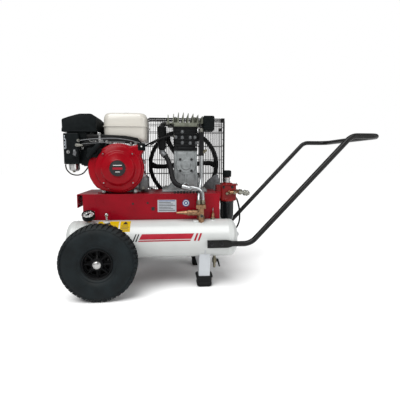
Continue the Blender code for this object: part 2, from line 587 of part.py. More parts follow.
def build_crankshaft():
    crank = rod("pump_crankshaft", (PUMP_X, 0.050, PUMP_Z), (PUMP_X, 0.182, PUMP_Z), PUMP_SHAFT_R, 14)
    discs = ((-0.0835, -0.060, 0.010, 0.0), (-0.064, -0.054, 0.031, 0.0), (-0.056, -0.016, 0.009, THROW),
             (-0.018, 0.018, 0.031, 0.0), (0.016, 0.056, 0.009, -THROW), (0.054, 0.066, 0.031, 0.0))
    for number, (y0, y1, radius, lift) in enumerate(discs):
        z = PUMP_Z + lift
        weld(crank, rod(f"crank_disc_{number}", (PUMP_X, y0, z), (PUMP_X, y1, z), radius, 14))
    place(crank, STEEL, (PUMP_X, 0.0, PUMP_Z))


def build_flywheel():
    windows = []
    for k in range(6):
        a = 60 * k
        outer = arc((PUMP_X, PUMP_Z), 0.150, a + 8, a + 52, 3)
        inner = arc((PUMP_X, PUMP_Z), 0.042, a + 44, a + 16, 1)
        windows.append(outer + inner)
    wheel = plate("pump_flywheel", [circle((PUMP_X, PUMP_Z), 0.164, 28)] + windows,
                  BELT_Y - 0.006, BELT_Y + 0.006, "Y")
    r, half = WHEEL_PULLEY_R, 0.0215
    rim = [(r, half), (r, 0.010), (r - 0.010, 0.0048), (r - 0.010, -0.0048), (r, -0.010), (r, -half),
           (r - 0.018, -half), (r - 0.018, half), (r, half)]
    weld(wheel, turned("flywheel_rim", [rim], (PUMP_X, BELT_Y, PUMP_Z), ACROSS, 28),
         rod("flywheel_hub", (PUMP_X, 0.136, PUMP_Z), (PUMP_X, 0.176, PUMP_Z), 0.030, 16))
    cut(wheel, rod("flywheel_bore", (PUMP_X, 0.10, PUMP_Z), (PUMP_X, 0.20, PUMP_Z), PUMP_SHAFT_R + GAP, 20))
    place(wheel, DARK_CAST, (PUMP_X, BELT_Y, PUMP_Z))


# ---------------------------------------------------------------- belt drive and guard
def belt_line(big, small):
    """Outline of an open belt on two pulleys with these radii."""
    dx, dz = ENG_X - PUMP_X, ENG_Z - PUMP_Z
    apart, lean = math.hypot(dx, dz), math.degrees(math.atan2(dz, dx))
    open_angle = math.degrees(math.acos((big - small) / apart))
    wrap_big = arc((PUMP_X, PUMP_Z), big, lean + open_angle, lean + 360 - open_angle, 20)
    wrap_small = arc((ENG_X, ENG_Z), small, lean - open_angle, lean + open_angle, 10)
    return wrap_big + wrap_small


def build_drive():
    outer = belt_line(WHEEL_PULLEY_R - 0.0005, ENGINE_PULLEY_R - 0.0005)
    inner = belt_line(WHEEL_PULLEY_R - 0.008, ENGINE_PULLEY_R - 0.008)
    place(plate("v_belt", [outer, inner], BELT_Y - BELT_HALF, BELT_Y + BELT_HALF, "Y"), RUBBER)
    guard = plate("belt_guard", [GUARD], GUARD_Y0, GUARD_Y1, "Y")
    middle = Vector((sum(x for x, z in GUARD) / len(GUARD), sum(z for x, z in GUARD) / len(GUARD)))
    shrink = 0.985
    inner = [tuple(middle + (Vector(p) - middle) * shrink) for p in GUARD]
    cut(guard, plate("guard_hollow", [inner], GUARD_Y0 - 0.01, GUARD_Y1 - 0.003, "Y"))
    place(guard, BLACK_METAL)


# ---------------------------------------------------------------- air lines and fittings
def build_lines():
    hose = [(-0.247, -0.080, 0.5868), (-0.247, -0.080, 0.580), (-0.240, -0.083, 0.571), (-0.229, -0.090, 0.558),
            (-0.216, -0.101, 0.530), (-0.209, -0.114, 0.500), (-0.204, -0.130, 0.470), (-0.193, -0.143, 0.449),
            (-0.176, -0.152, 0.437), (-0.156, -0.158, 0.432)]
    place(tube("delivery_hose", smooth_route(hose, 2), 0.0105, 2), RUBBER)
    pipe = [(-0.1540, -0.1584, 0.4318), (-0.135, -0.163, 0.4300), (-0.113, -0.167, 0.4280),
            (-0.092, -0.172, 0.422), (-0.0800, -0.178, 0.411), (-0.0772, -0.183, 0.393),
            (-0.0772, -0.185, 0.375), (-0.0772, -0.185, 0.3606)]
    place(tube("delivery_pipe", smooth_route(pipe, 2), 0.007, 2), STEEL)
    riser = [(-0.079, -0.119, 0.663), (-0.079, -0.119, 0.610), (-0.079, -0.119, 0.540), (-0.079, -0.120, 0.480),
             (-0.081, -0.127, 0.449), (-0.085, -0.143, 0.426), (-0.0905, -0.163, 0.404), (-0.0940, -0.179, 0.385),
             (-0.0947, -0.185, 0.371), (-0.0947, -0.185, 0.3606)]
    place(tube("riser_pipe", smooth_route(riser, 2), 0.009, 2), STEEL)
    thin = [(0.0924, -0.020, 0.368), (0.0955, -0.020, 0.3675), (0.1000, -0.020, 0.362), (0.1065, -0.020, 0.342),
            (0.1120, -0.020, 0.315), (0.1140, -0.021, 0.285), (0.1115, -0.026, 0.260), (0.1000, -0.036, 0.236),
            (0.0800, -0.048, 0.219), (0.0580, -0.058, 0.213), (0.0400, -0.065, 0.213), (0.0300, -0.0708, 0.213)]
    place(tube("regulator_hose", smooth_route(thin, 2), 0.004, 1), RUBBER)


def build_manifold():
    body = rod("valve_manifold", (MANIFOLD_X, MANIFOLD_Y, 0.270), (MANIFOLD_X, MANIFOLD_Y, 0.350), 0.014, 6)
    yoke = box("manifold_yoke", (-0.106, -0.197, 0.342), (-0.066, -0.173, 0.359))
    arm = [(0, 0.100), (0.0035, 0.100), (0.009, 0.055), (0.012, 0.053), (0.012, 0.012), (0.010, 0.0), (0, 0.0)]
    weld(body, yoke, turned("pilot_arm", [arm], (MANIFOLD_X - 0.003, MANIFOLD_Y, 0.325), -ALONG, 14))
    place(cut(body, tank_cutter(-1, "manifold_saddle")), BRASS)


def build_safety_valve():
    x, y, low, high = -0.033, -0.170, TANK_Z + TANK_R + 0.0005, 0.034
    chain = [(0, high), (0.003, high), (0.003, 0.028), (0.0065, 0.0265), (0.0065, 0.012), (0.0085, 0.011),
             (0.0085, 0.004), (0.006, 0.003), (0.006, 0), (0, 0)]
    place(turned("safety_valve", [chain], (x, y, low), UP, 10), BRASS)
    ring = [(0.0075 + 0.0012 * math.cos(a), 0.0012 * math.sin(a)) for a in (0, -1.257, -2.513, -3.770, -5.027)]
    place(turned("safety_ring", [ring + [ring[0]]], (x, y, low + high + 0.0092), ALONG, 12), STEEL)


def build_gauge():
    normal = Vector((0, -math.sin(GAUGE_LEAN), math.cos(GAUGE_LEAN)))
    case = turned("gauge_case", [[(0, -0.006), (0.0235, -0.006), (0.0235, 0), (0.026, 0), (0.026, -0.021),
                                  (0.012, -0.025), (0, -0.025)]], GAUGE_FACE, normal, 24)
    foot = GAUGE_FACE - normal * 0.024
    stem = rod("gauge_stem", (foot.x, foot.y, 0.270), (foot.x, foot.y, foot.z + 0.004), 0.006, 6)
    cut(weld(case, stem), tank_cutter(-1, "gauge_saddle"))
    place(case, BLACK_METAL)
    pivot = GAUGE_FACE - normal * 0.003
    needle = plate("gauge_needle", [[(-0.0015, -0.005), (0.0015, -0.005), (0.0005, 0.018), (-0.0005, 0.018)]],
                   -0.0006, 0.0006, "Z")
    aim = Matrix.Rotation(math.radians(135), 4, "Z")
    needle.data.transform(Matrix.Translation(pivot) @ Matrix.Rotation(GAUGE_LEAN, 4, "X") @ aim)
    place(needle, BLACK, pivot)


def build_regulator():
    low, top, neck_top = 0.358, 0.434, 0.4667
    body = box("regulator_body", (REG_LEFT, REG_Y - 0.030, low), (REG_RIGHT, REG_Y + 0.030, top), 0.006, 2)
    weld(body, rod("regulator_neck", (REG_X, REG_Y, top - 0.004), (REG_X, REG_Y, neck_top), 0.013, 16),
         box("regulator_inlet", (0.0, REG_Y - 0.022, BASE_TOP + GAP), (REG_LEFT + 0.004, REG_Y + 0.022, 0.431)))
    place(body, RED)
    knob = [(0, 0.031), (0.0155, 0.031), (0.0195, 0.027), (0.0195, 0.002), (0.018, 0), (0, 0)]
    place(turned("regulator_knob", [knob], (REG_X, REG_Y, neck_top + GAP), UP, 20), BLACK)
    bowl = [(0, -GAP), (0.032, -GAP), (0.032, -0.082), (0.025, -0.092), (0.006, -0.095), (0.006, -0.103),
            (0, -0.103)]
    inner = [(0, -0.080), (0.028, -0.080), (0.028, -0.004), (0, -0.004)]
    filter_bowl = turned("filter_bowl", [bowl, inner], (REG_X, REG_Y, low), UP, 20)
    cut(filter_bowl, rod("bowl_drain", (REG_X, REG_Y, 0.240), (REG_X, REG_Y, 0.290), 0.002, 8))
    place(filter_bowl, BLACK)


def build_coupler():
    chain = [(0, 0.066), (0.004, 0.066), (0.0085, 0.064), (0.0085, 0.028), (0.012, 0.027), (0.012, 0.012),
             (0.008, 0.011), (0.008, 0), (0, 0)]
    coupler = turned("coupler_body", [chain], COUPLER_ROOT, COUPLER_DIR, 14)
    socket = COUPLER_ROOT + COUPLER_DIR * 0.045
    cut(coupler, rod("coupler_socket", socket, socket + COUPLER_DIR * 0.04, 0.0036, 10))
    place(coupler, STEEL)
    ring = [(0.0088, 0.058), (0.0125, 0.058), (0.0135, 0.054), (0.0135, 0.038), (0.0125, 0.036),
            (0.0088, 0.036), (0.0088, 0.058)]
    place(turned("coupler_sleeve", [ring], COUPLER_ROOT, COUPLER_DIR, 16), STEEL)


def build_drain():
    y, top = -TANK_Y, TANK_Z - TANK_R - 0.0005
    chain = [(0, 0), (0.006, 0), (0.006, -0.012), (0.0095, -0.014), (0.0095, -0.032), (0.006, -0.036),
             (0.006, -0.048), (0.0045, -0.056), (0, -0.056)]
    place(turned("drain_cock", [chain], (DRAIN_X, y, top), UP, 12), BRASS)
    pivot = Vector((DRAIN_X + 0.0100, y, top - 0.023))
    outline = [(0, 0.005), (0, -0.005), (0.003, -0.006), (0.011, -0.030), (0.015, -0.028), (0.006, 0.005)]
    lever = plate("drain_lever", [outline], -0.005, 0.005, "Y")
    lever.data.transform(Matrix.Translation(pivot))
    place(lever, BLACK, pivot)


build_tank("tank_near", -1)
build_tank("tank_far", 1)
build_base_plate()
build_leg_frame()
build_foot("foot_near", -1)
build_foot("foot_far", 1)
build_axle_frame()
build_axle("axle_near", -1)
build_axle("axle_far", 1)
build_wheel("near", -1)
build_wheel("far", 1)
build_handle()
build_engine_block()
build_engine_shaft()
build_covers()
build_fuel_system()
build_air_cleaner()
build_carburettor()
build_muffler()
build_pump_case()
build_cylinders()
build_head()
build_crankshaft()
build_flywheel()
build_drive()
build_lines()
build_manifold()
build_safety_valve()
build_gauge()
build_regulator()
build_coupler()
build_drain()
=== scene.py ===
"""Looks of a wheelbarrow air compressor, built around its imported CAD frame.

Metres in the frame's own axes: X along the tanks with the push handle at +X, Y across with the
recoil starter at -Y, Z up from the ground.
"""
import math

import bmesh
import bpy
from mathutils import Matrix, Vector


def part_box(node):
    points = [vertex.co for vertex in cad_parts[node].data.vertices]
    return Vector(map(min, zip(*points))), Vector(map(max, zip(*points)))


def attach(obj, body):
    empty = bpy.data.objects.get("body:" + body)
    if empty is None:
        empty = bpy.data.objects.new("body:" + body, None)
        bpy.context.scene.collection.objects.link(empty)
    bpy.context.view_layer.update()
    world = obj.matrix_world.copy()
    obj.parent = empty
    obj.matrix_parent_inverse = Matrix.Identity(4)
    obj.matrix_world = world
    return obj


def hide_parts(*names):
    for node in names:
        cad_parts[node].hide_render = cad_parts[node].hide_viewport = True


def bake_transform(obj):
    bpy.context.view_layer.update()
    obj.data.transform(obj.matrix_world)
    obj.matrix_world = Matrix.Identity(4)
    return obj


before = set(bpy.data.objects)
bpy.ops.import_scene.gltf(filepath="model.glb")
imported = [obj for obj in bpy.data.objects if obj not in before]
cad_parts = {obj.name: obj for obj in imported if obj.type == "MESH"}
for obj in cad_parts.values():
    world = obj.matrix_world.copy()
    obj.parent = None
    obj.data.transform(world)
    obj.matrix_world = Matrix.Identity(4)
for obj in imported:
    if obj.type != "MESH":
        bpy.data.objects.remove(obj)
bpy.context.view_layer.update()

UP, ALONG, ACROSS = Vector((0, 0, 1)), Vector((1, 0, 0)), Vector((0, 1, 0))
SKIN = 0.0006               # how far a sticker or seam stands proud of what it sits on


# ---------------------------------------------------------------- places read from the frame
def low(node):
    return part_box(node)[0]


def high(node):
    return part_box(node)[1]


def middle(node):
    return (low(node) + high(node)) / 2


TANK = middle("tank_near")
TANK_R = (high("tank_near").z - low("tank_near").z) / 2
TANK_HALF = (high("tank_near").x - low("tank_near").x) / 2
AXLE = middle("axle_near")
WHEEL_R = high("tyre_near").z / 2
ENGINE = middle("engine_shaft")
COVER_FACE = low("fan_cover").y
PUMP = middle("pump_flywheel")
PUMP_FACE = low("pump_crankcase").y
BASE_TOP = high("base_plate").z
BASE_FRONT = low("base_plate").y
HANDLE_BOLTS, HANDLE_Y, HANDLE_Z = (-0.047, -0.006), 0.25, 0.2036
PETCOCK_X, PETCOCK_Y, BALANCE_X = -0.476, -0.18, 0.02
PUMP_BORE, SHAFT_BORE = 0.0134, 0.0124


# ---------------------------------------------------------------- finishes
FINISHES = {}
COAT_ROUGHNESS = 0.12
DUST_COLOUR = (0.42, 0.39, 0.35)
WEAR_RADIUS, WEAR_AMOUNT = 0.0016, 0.8
SHARP_ANGLE, SOFT_EDGE_ANGLE = 38, 35          # degrees


def wire(tree, node_type, **settings):
    node = tree.nodes.new(node_type)
    for key, value in settings.items():
        setattr(node, key, value)
    return node


def noise(tree, scale, detail, stretch=(1, 1, 1)):
    """Solid noise in the object's own metres; stretch draws the grain out along an axis."""
    place = wire(tree, "ShaderNodeTexCoord")
    mapping = wire(tree, "ShaderNodeMapping")
    mapping.inputs["Scale"].default_value = stretch
    texture = wire(tree, "ShaderNodeTexNoise")
    texture.inputs["Scale"].default_value = scale
    texture.inputs["Detail"].default_value = detail
    tree.links.new(place.outputs["Object"], mapping.inputs["Vector"])
    tree.links.new(mapping.outputs["Vector"], texture.inputs["Vector"])
    return texture.outputs["Fac"]


def cells(tree, scale):
    place = wire(tree, "ShaderNodeTexCoord")
    texture = wire(tree, "ShaderNodeTexVoronoi")
    texture.inputs["Scale"].default_value = scale
    tree.links.new(place.outputs["Object"], texture.inputs["Vector"])
    return texture.outputs["Distance"]


def ramp(tree, source, low_out, high_out, low_in=0.35, high_in=0.65):
    spread = wire(tree, "ShaderNodeMapRange")
    for socket, value in zip(("From Min", "From Max", "To Min", "To Max"),
            (low_in, high_in, low_out, high_out)):
        spread.inputs[socket].default_value = value
    tree.links.new(source, spread.inputs["Value"])
    return spread.outputs["Result"]


def blend_colour(tree, factor, first, second):
    mix = wire(tree, "ShaderNodeMix", data_type="RGBA")
    for socket, colour in ((6, first), (7, second)):
        if isinstance(colour, bpy.types.NodeSocket):
            tree.links.new(colour, mix.inputs[socket])
        else:
            mix.inputs[socket].default_value = (*colour, 1.0)
    tree.links.new(factor, mix.inputs[0])
    return mix.outputs[2]


def dust_mask(tree, amount):
    """Dust that has settled on whatever faces up, broken up by a soft noise."""
    place = wire(tree, "ShaderNodeTexCoord")
    split = wire(tree, "ShaderNodeSeparateXYZ")
    tree.links.new(place.outputs["Normal"], split.inputs[0])
    facing = ramp(tree, split.outputs["Z"], 0.0, amount, 0.2, 1.0)
    patchy = ramp(tree, noise(tree, 35, 4), 0.3, 1.0)
    both = wire(tree, "ShaderNodeMath", operation="MULTIPLY")
    tree.links.new(facing, both.inputs[0])
    tree.links.new(patchy, both.inputs[1])
    return both.outputs[0]


def edge_mask(tree, radius, amount):
    """Wear along edges: where a rounded normal leaves the true one."""
    softened = wire(tree, "ShaderNodeBevel", samples=4)
    softened.inputs["Radius"].default_value = radius
    true = wire(tree, "ShaderNodeNewGeometry")
    along = wire(tree, "ShaderNodeVectorMath", operation="DOT_PRODUCT")
    tree.links.new(softened.outputs["Normal"], along.inputs[0])
    tree.links.new(true.outputs["Normal"], along.inputs[1])
    edge = ramp(tree, along.outputs["Value"], amount, 0.0, 0.8, 0.97)
    broken = ramp(tree, noise(tree, 160, 6), 0.0, 1.0, 0.42, 0.62)
    both = wire(tree, "ShaderNodeMath", operation="MULTIPLY")
    tree.links.new(edge, both.inputs[0])
    tree.links.new(broken, both.inputs[1])
    return both.outputs[0]


def finish(name, slot, colour, rough, metal=0.0, mottle=(30, 0.1), grain=(900, 0.0001), pattern="noise",
        stretch=(1, 1, 1), coat=0.0, dust=0.0, worn=None, specular=0.5, **sockets):
    """A procedural material: two-tone colour, uneven gloss, fine relief, dust on top and worn edges."""
    mat = bpy.data.materials.new(name)
    mat.use_nodes = True
    tree = mat.node_tree
    shader = tree.nodes["Principled BSDF"]
    shader.inputs["Metallic"].default_value = metal
    shader.inputs["Coat Weight"].default_value = coat
    shader.inputs["Specular IOR Level"].default_value = specular
    shader.inputs["Coat Roughness"].default_value = COAT_ROUGHNESS
    for socket, value in sockets.items():
        shader.inputs[socket.replace("_", " ")].default_value = value
    scale, amount = mottle
    cloud = noise(tree, scale, 5, stretch)
    dark = [c * (1 - amount) for c in colour]
    light = [min(1.0, c * (1 + amount)) for c in colour]
    shade = blend_colour(tree, ramp(tree, cloud, 0, 1), dark, light)
    if dust:
        shade = blend_colour(tree, dust_mask(tree, dust), shade, DUST_COLOUR)
    if worn:
        shade = blend_colour(tree, edge_mask(tree, WEAR_RADIUS, WEAR_AMOUNT), shade, worn)
    tree.links.new(shade, shader.inputs["Base Color"])
    tree.links.new(ramp(tree, cloud, rough * 0.85, min(1.0, rough * 1.2)), shader.inputs["Roughness"])
    fine, depth = grain
    relief = cells(tree, fine) if pattern == "cells" else noise(tree, fine, 3, stretch)
    bump = wire(tree, "ShaderNodeBump")
    bump.inputs["Distance"].default_value = depth
    tree.links.new(relief, bump.inputs["Height"])
    tree.links.new(bump.outputs["Normal"], shader.inputs["Normal"])
    FINISHES[name] = (mat, slot)


def make_finishes():
    finish("tank_enamel", "tank_white", (0.405, 0.418, 0.41), 0.34, mottle=(9, 0.03), grain=(420, 0.00006),
        coat=0.25, dust=0.06)
    finish("leg_enamel", "tank_white", (0.4, 0.42, 0.44), 0.38, mottle=(14, 0.05), grain=(420, 0.00008),
        coat=0.15, dust=0.08, worn=(0.24, 0.24, 0.24))
    finish("red_enamel", "frame_red", (0.19, 0.0012, 0.007), 0.3, mottle=(12, 0.12), grain=(380, 0.00007),
        coat=0.06, dust=0.02, worn=(0.08, 0.01, 0.01), specular=0.1)
    finish("engine_enamel", "engine_red", (0.205, 0.0008, 0.005), 0.26, mottle=(16, 0.12),
        grain=(500, 0.00005), coat=0.05, specular=0.1)
    finish("regulator_enamel", "frame_red", (0.15, 0.003, 0.003), 0.38, mottle=(40, 0.14),
        grain=(900, 0.00012), coat=0.15, worn=(0.16, 0.06, 0.05), specular=0.14)
    finish("cream_enamel", "fuel_cream", (0.47, 0.45, 0.405), 0.34, mottle=(10, 0.03),
        grain=(450, 0.00006), coat=0.3, dust=0.08)
    finish("black_enamel", "black_paint", (0.0052, 0.0052, 0.005), 0.36, mottle=(45, 0.3),
        grain=(700, 0.00008), coat=0.1, worn=(0.05, 0.05, 0.05), specular=0.12)
    finish("rim_enamel", "black_paint", (0.0032, 0.0036, 0.0042), 0.44, mottle=(45, 0.25),
        grain=(600, 0.0001), dust=0.015, specular=0.1)
    finish("moulded_black", "black_plastic", (0.0044, 0.006, 0.0064), 0.48, mottle=(60, 0.2),
        grain=(1100, 0.00012), pattern="cells", dust=0.01, specular=0.07)
    finish("tyre_rubber", "tyre", (0.0068, 0.0096, 0.0108), 0.64, mottle=(22, 0.35), grain=(1300, 0.00014),
        dust=0.04, specular=0.12)
    finish("hose_rubber", "rubber", (0.006, 0.006, 0.0066), 0.58, mottle=(70, 0.25), grain=(1500, 0.0001),
        dust=0.02, specular=0.12)
    finish("cast_alloy", "cast_aluminium", (0.205, 0.22, 0.222), 0.52, 0.45, mottle=(55, 0.18),
        grain=(700, 0.00035), dust=0.05)
    finish("head_alloy", "cast_aluminium", (0.118, 0.124, 0.096), 0.54, 0.5, mottle=(50, 0.26),
        grain=(600, 0.0004), dust=0.05)
    finish("black_casting", "dark_cast", (0.004, 0.0044, 0.0048), 0.5, 0.0, mottle=(50, 0.3),
        grain=(520, 0.0005), pattern="cells", dust=0.015, specular=0.12)
    finish("bright_steel", "steel", (0.37, 0.37, 0.365), 0.26, 1.0, mottle=(90, 0.16),
        grain=(1200, 0.00004))
    finish("zinc_plate", "steel", (0.235, 0.235, 0.21), 0.36, 1.0, mottle=(140, 0.22),
        grain=(500, 0.00006), pattern="cells")
    finish("pipe_alloy", "steel", (0.3, 0.31, 0.315), 0.34, 1.0, mottle=(120, 0.14), grain=(900, 0.00004),
        stretch=(1, 1, 0.08))
    finish("dark_bolt", "black_paint", (0.009, 0.009, 0.01), 0.42, 0.6, mottle=(120, 0.25),
        grain=(900, 0.00008))
    finish("yellow_brass", "brass", (0.225, 0.132, 0.075), 0.36, 1.0, mottle=(110, 0.3),
        grain=(700, 0.0001))
    finish("pale_brass", "brass", (0.165, 0.15, 0.108), 0.36, 1.0, mottle=(110, 0.26), grain=(700, 0.0001))
    finish("label_yellow", "tank_white", (0.42, 0.275, 0.002), 0.46, mottle=(60, 0.06),
        grain=(900, 0.00003), specular=0.08)
    finish("label_red", "frame_red", (0.25, 0.003, 0.014), 0.46, mottle=(60, 0.08), grain=(900, 0.00003),
        specular=0.25)
    finish("label_grey", "cast_aluminium", (0.3, 0.32, 0.345), 0.44, mottle=(60, 0.06),
        grain=(900, 0.00003))
    finish("label_blue", "black_plastic", (0.016, 0.055, 0.17), 0.44, mottle=(60, 0.1),
        grain=(900, 0.00003))
    finish("label_white", "tank_white", (0.54, 0.54, 0.53), 0.45, mottle=(60, 0.04), grain=(900, 0.00003))
    # Black for print and small dark parts, and also painted shade inside holes, bores and slots.
    finish("dark_print_and_painted_shade", "black_plastic", (0.012, 0.012, 0.013), 0.5, mottle=(80, 0.1),
        grain=(900, 0.00003), specular=0.25)
    finish("galvanised", "steel", (0.125, 0.13, 0.135), 0.48, 0.6, mottle=(70, 0.25), grain=(160, 0.00006),
        pattern="cells")
    finish("smoked_bowl", "black_plastic", (0.004, 0.005, 0.006), 0.2, mottle=(30, 0.1),
        grain=(900, 0.00002), coat=0.1, specular=0.18)
    finish("clear_lens", "steel", (0.95, 0.96, 0.96), 0.03, mottle=(20, 0.01), grain=(300, 0.00001),
        Transmission_Weight=1.0, IOR=1.45)
    finish("rope_fibre", "rubber", (0.012, 0.012, 0.013), 0.75, mottle=(300, 0.4), grain=(900, 0.0004))


# ---------------------------------------------------------------- solids to build from
def block(low_corner, high_corner, bevel=0.0, segments=2):
    a, b = Vector(low_corner), Vector(high_corner)
    bm = bmesh.new()
    bmesh.ops.create_cube(bm, size=1.0)
    bmesh.ops.scale(bm, vec=b - a, verts=bm.verts)
    bmesh.ops.translate(bm, vec=(a + b) / 2, verts=bm.verts)
    if bevel:
        bmesh.ops.bevel(bm, geom=bm.edges[:], offset=bevel, segments=segments, profile=0.5, affect="EDGES")
    return bm


def lathe(chain, at, axis, steps=40):
    """Turn a chain of (radius, height) about an axis through `at`.  A closed chain ends where it starts."""
    bm = bmesh.new()
    closed = chain[0] == chain[-1]
    rings = []
    for radius, height in chain[:-1] if closed else chain:
        if radius < 1e-6:
            rings.append([bm.verts.new((0, 0, height))] * steps)
            continue
        rings.append([bm.verts.new((radius * math.cos(a), radius * math.sin(a),
            height)) for a in (2 * math.pi * i / steps for i in range(steps))])
    pairs = list(zip(rings, rings[1:])) + ([(rings[-1], rings[0])] if closed else [])
    for first, second in pairs:
        for i in range(steps):
            k = (i + 1) % steps
            corners = list(dict.fromkeys((first[i], first[k], second[k], second[i])))
            if len(corners) > 2:
                bm.faces.new(corners)
    turn = UP.rotation_difference(Vector(axis)).to_matrix().to_4x4()
    bmesh.ops.transform(bm, matrix=Matrix.Translation(at) @ turn, verts=bm.verts)
    bmesh.ops.recalc_face_normals(bm, faces=bm.faces)
    return bm


def rod(start, end, radius, sides=16, chamfer=0.0):
    start, end = Vector(start), Vector(end)
    length = (end - start).length
    chain = [(0, 0), (radius - chamfer, 0), (radius, chamfer), (radius, length - chamfer),
        (radius - chamfer, length), (0, length)]
    return lathe(chain, start, end - start, sides)


def pipe(route, radius, sides=12, loop=False):
    """Round tube through the points; radius is one number or one for each point."""
    points = [Vector(p) for p in route]
    count = len(points)
    radii = [radius] * count if isinstance(radius, (int, float)) else radius
    bm = bmesh.new()
    rings, side = [], None
    for i, point in enumerate(points):
        ahead = points[(i + 1) % count] if loop else points[min(i + 1, count - 1)]
        behind = points[i - 1] if loop else points[max(i - 1, 0)]
        heading = (ahead - behind).normalized()
        side = heading.orthogonal() if side is None else side - heading * side.dot(heading)
        side.normalize()
        other = heading.cross(side)
        turns = [2 * math.pi * k / sides for k in range(sides)]
        ring = [point + radii[i] * (side * math.cos(a) + other * math.sin(a)) for a in turns]
        rings.append([bm.verts.new(p) for p in ring])
    for first, second in zip(rings, rings[1:] + ([rings[0]] if loop else [])):
        for k in range(sides):
            j = (k + 1) % sides
            bm.faces.new((first[k], first[j], second[j], second[k]))
    if not loop:
        bm.faces.new(rings[0])
        bm.faces.new(rings[-1])
    bmesh.ops.recalc_face_normals(bm, faces=bm.faces)
    return bm


PLANES = {"X": (ACROSS, UP, ALONG), "Y": (ALONG, UP, ACROSS), "Z": (ALONG, ACROSS, UP)}


def slab(outline, start, end, normal="Y", bevel=0.0, segments=2):
    """Solid plate with this outline, from start to end along its normal."""
    right, upward, out = PLANES[normal]
    bm = bmesh.new()
    ring = [bm.verts.new(right * u + upward * v + out * start) for u, v in outline]
    bmesh.ops.recalc_face_normals(bm, faces=[bm.faces.new(ring)])
    made = bmesh.ops.extrude_face_region(bm, geom=bm.faces[:])
    moved = [g for g in made["geom"] if isinstance(g, bmesh.types.BMVert)]
    bmesh.ops.translate(bm, vec=out * (end - start), verts=moved)
    bmesh.ops.recalc_face_normals(bm, faces=bm.faces)
    if bevel:
        bmesh.ops.bevel(bm, geom=bm.edges[:], offset=bevel, segments=segments, profile=0.5, affect="EDGES",
            clamp_overlap=True)
    return bm


def loft(rings, capped=True):
    """Skin over rings that all have the same number of points."""
    bm = bmesh.new()
    made = [[bm.verts.new(p) for p in ring] for ring in rings]
    for first, second in zip(made, made[1:]):
        for k in range(len(first)):
            j = (k + 1) % len(first)
            bm.faces.new((first[k], first[j], second[j], second[k]))
    if capped:
        bm.faces.new(made[0])
        bm.faces.new(made[-1])
    bmesh.ops.recalc_face_normals(bm, faces=bm.faces)
    return bm


def pierced(outline, holes, start, end, normal="Y"):
    """Plate with holes."""
    right, upward, out = PLANES[normal]
    curve = bpy.data.curves.new("pierced", "CURVE")
    curve.dimensions = "2D"
    curve.fill_mode = "BOTH"
    curve.extrude = (end - start) / 2
    for ring in [outline, *holes]:
        spline = curve.splines.new("POLY")
        spline.points.add(len(ring) - 1)
        spline.use_cyclic_u = True
        for point, (u, v) in zip(spline.points, ring):
            point.co = (u, v, 0, 1)
    holder = bpy.data.objects.new("pierced", curve)
    bpy.context.scene.collection.objects.link(holder)
    bpy.context.view_layer.update()
    mesh = bpy.data.meshes.new_from_object(holder.evaluated_get(bpy.context.evaluated_depsgraph_get()))
    bpy.data.objects.remove(holder)
    bm = bmesh.new()
    bm.from_mesh(mesh)
    bmesh.ops.remove_doubles(bm, verts=bm.verts, dist=1e-6)
    turn = Matrix((right, upward, out)).transposed().to_4x4()
    bmesh.ops.transform(bm, matrix=Matrix.Translation(out * (start + end) / 2) @ turn, verts=bm.verts)
    bmesh.ops.recalc_face_normals(bm, faces=bm.faces)
    return bm


def arc(centre, radius, start_deg, end_deg, steps):
    turns = [math.radians(start_deg + (end_deg - start_deg) * i / steps) for i in range(steps + 1)]
    return [(centre[0] + radius * math.cos(a), centre[1] + radius * math.sin(a)) for a in turns]


def circle(centre, radius, steps=24):
    return arc(centre, radius, 0, 360, steps)[:-1]


def rounded(x0, x1, y0, y1, radius, steps=6):
    """Points of a rectangle with rounded corners."""
    corners = ((x1 - radius, y1 - radius, 0), (x0 + radius, y1 - radius, 90),
        (x0 + radius, y0 + radius, 180), (x1 - radius, y0 + radius, 270))
    return [p for x, y, turn in corners for p in arc((x, y), radius, turn, turn + 90, steps)]


def smooth_route(points, per_span=6):
    """Catmull-Rom curve through the points of a hose, rod or wire."""
    p = [Vector(q) for q in points]
    p = [2 * p[0] - p[1], *p, 2 * p[-1] - p[-2]]
    route = []
    for before, start, end, after in zip(p, p[1:], p[2:], p[3:]):
        slope = end - before
        curl = 2 * before - 5 * start + 4 * end - after
        twist = 3 * start - before - 3 * end + after
        for k in range(per_span):
            t = k / per_span
            route.append(0.5 * (2 * start + slope * t + curl * t ** 2 + twist * t ** 3))
    return route + [p[-2]]


def cord(points, radius, sides):
    """Round tube along a smooth curve through the points."""
    route = smooth_route(points)
    return pipe(route, radius, sides)


def both_sides(half):
    """A profile followed by its mirror image, for a turned part with two like sides."""
    return half + [(r, -h) for r, h in reversed(half)]


def knurl(shape, centre, reach, count, rise, radius, chamfer=0.0006, start=0.0):
    """Upright ribs spaced evenly round a cap, knob or cup."""
    for k in range(count):
        a = 2 * math.pi * k / count + start
        at = centre + Vector((reach * math.cos(a), reach * math.sin(a), 0))
        shape.add(rod(at, at + UP * rise, radius, 10, chamfer), "moulded_black")


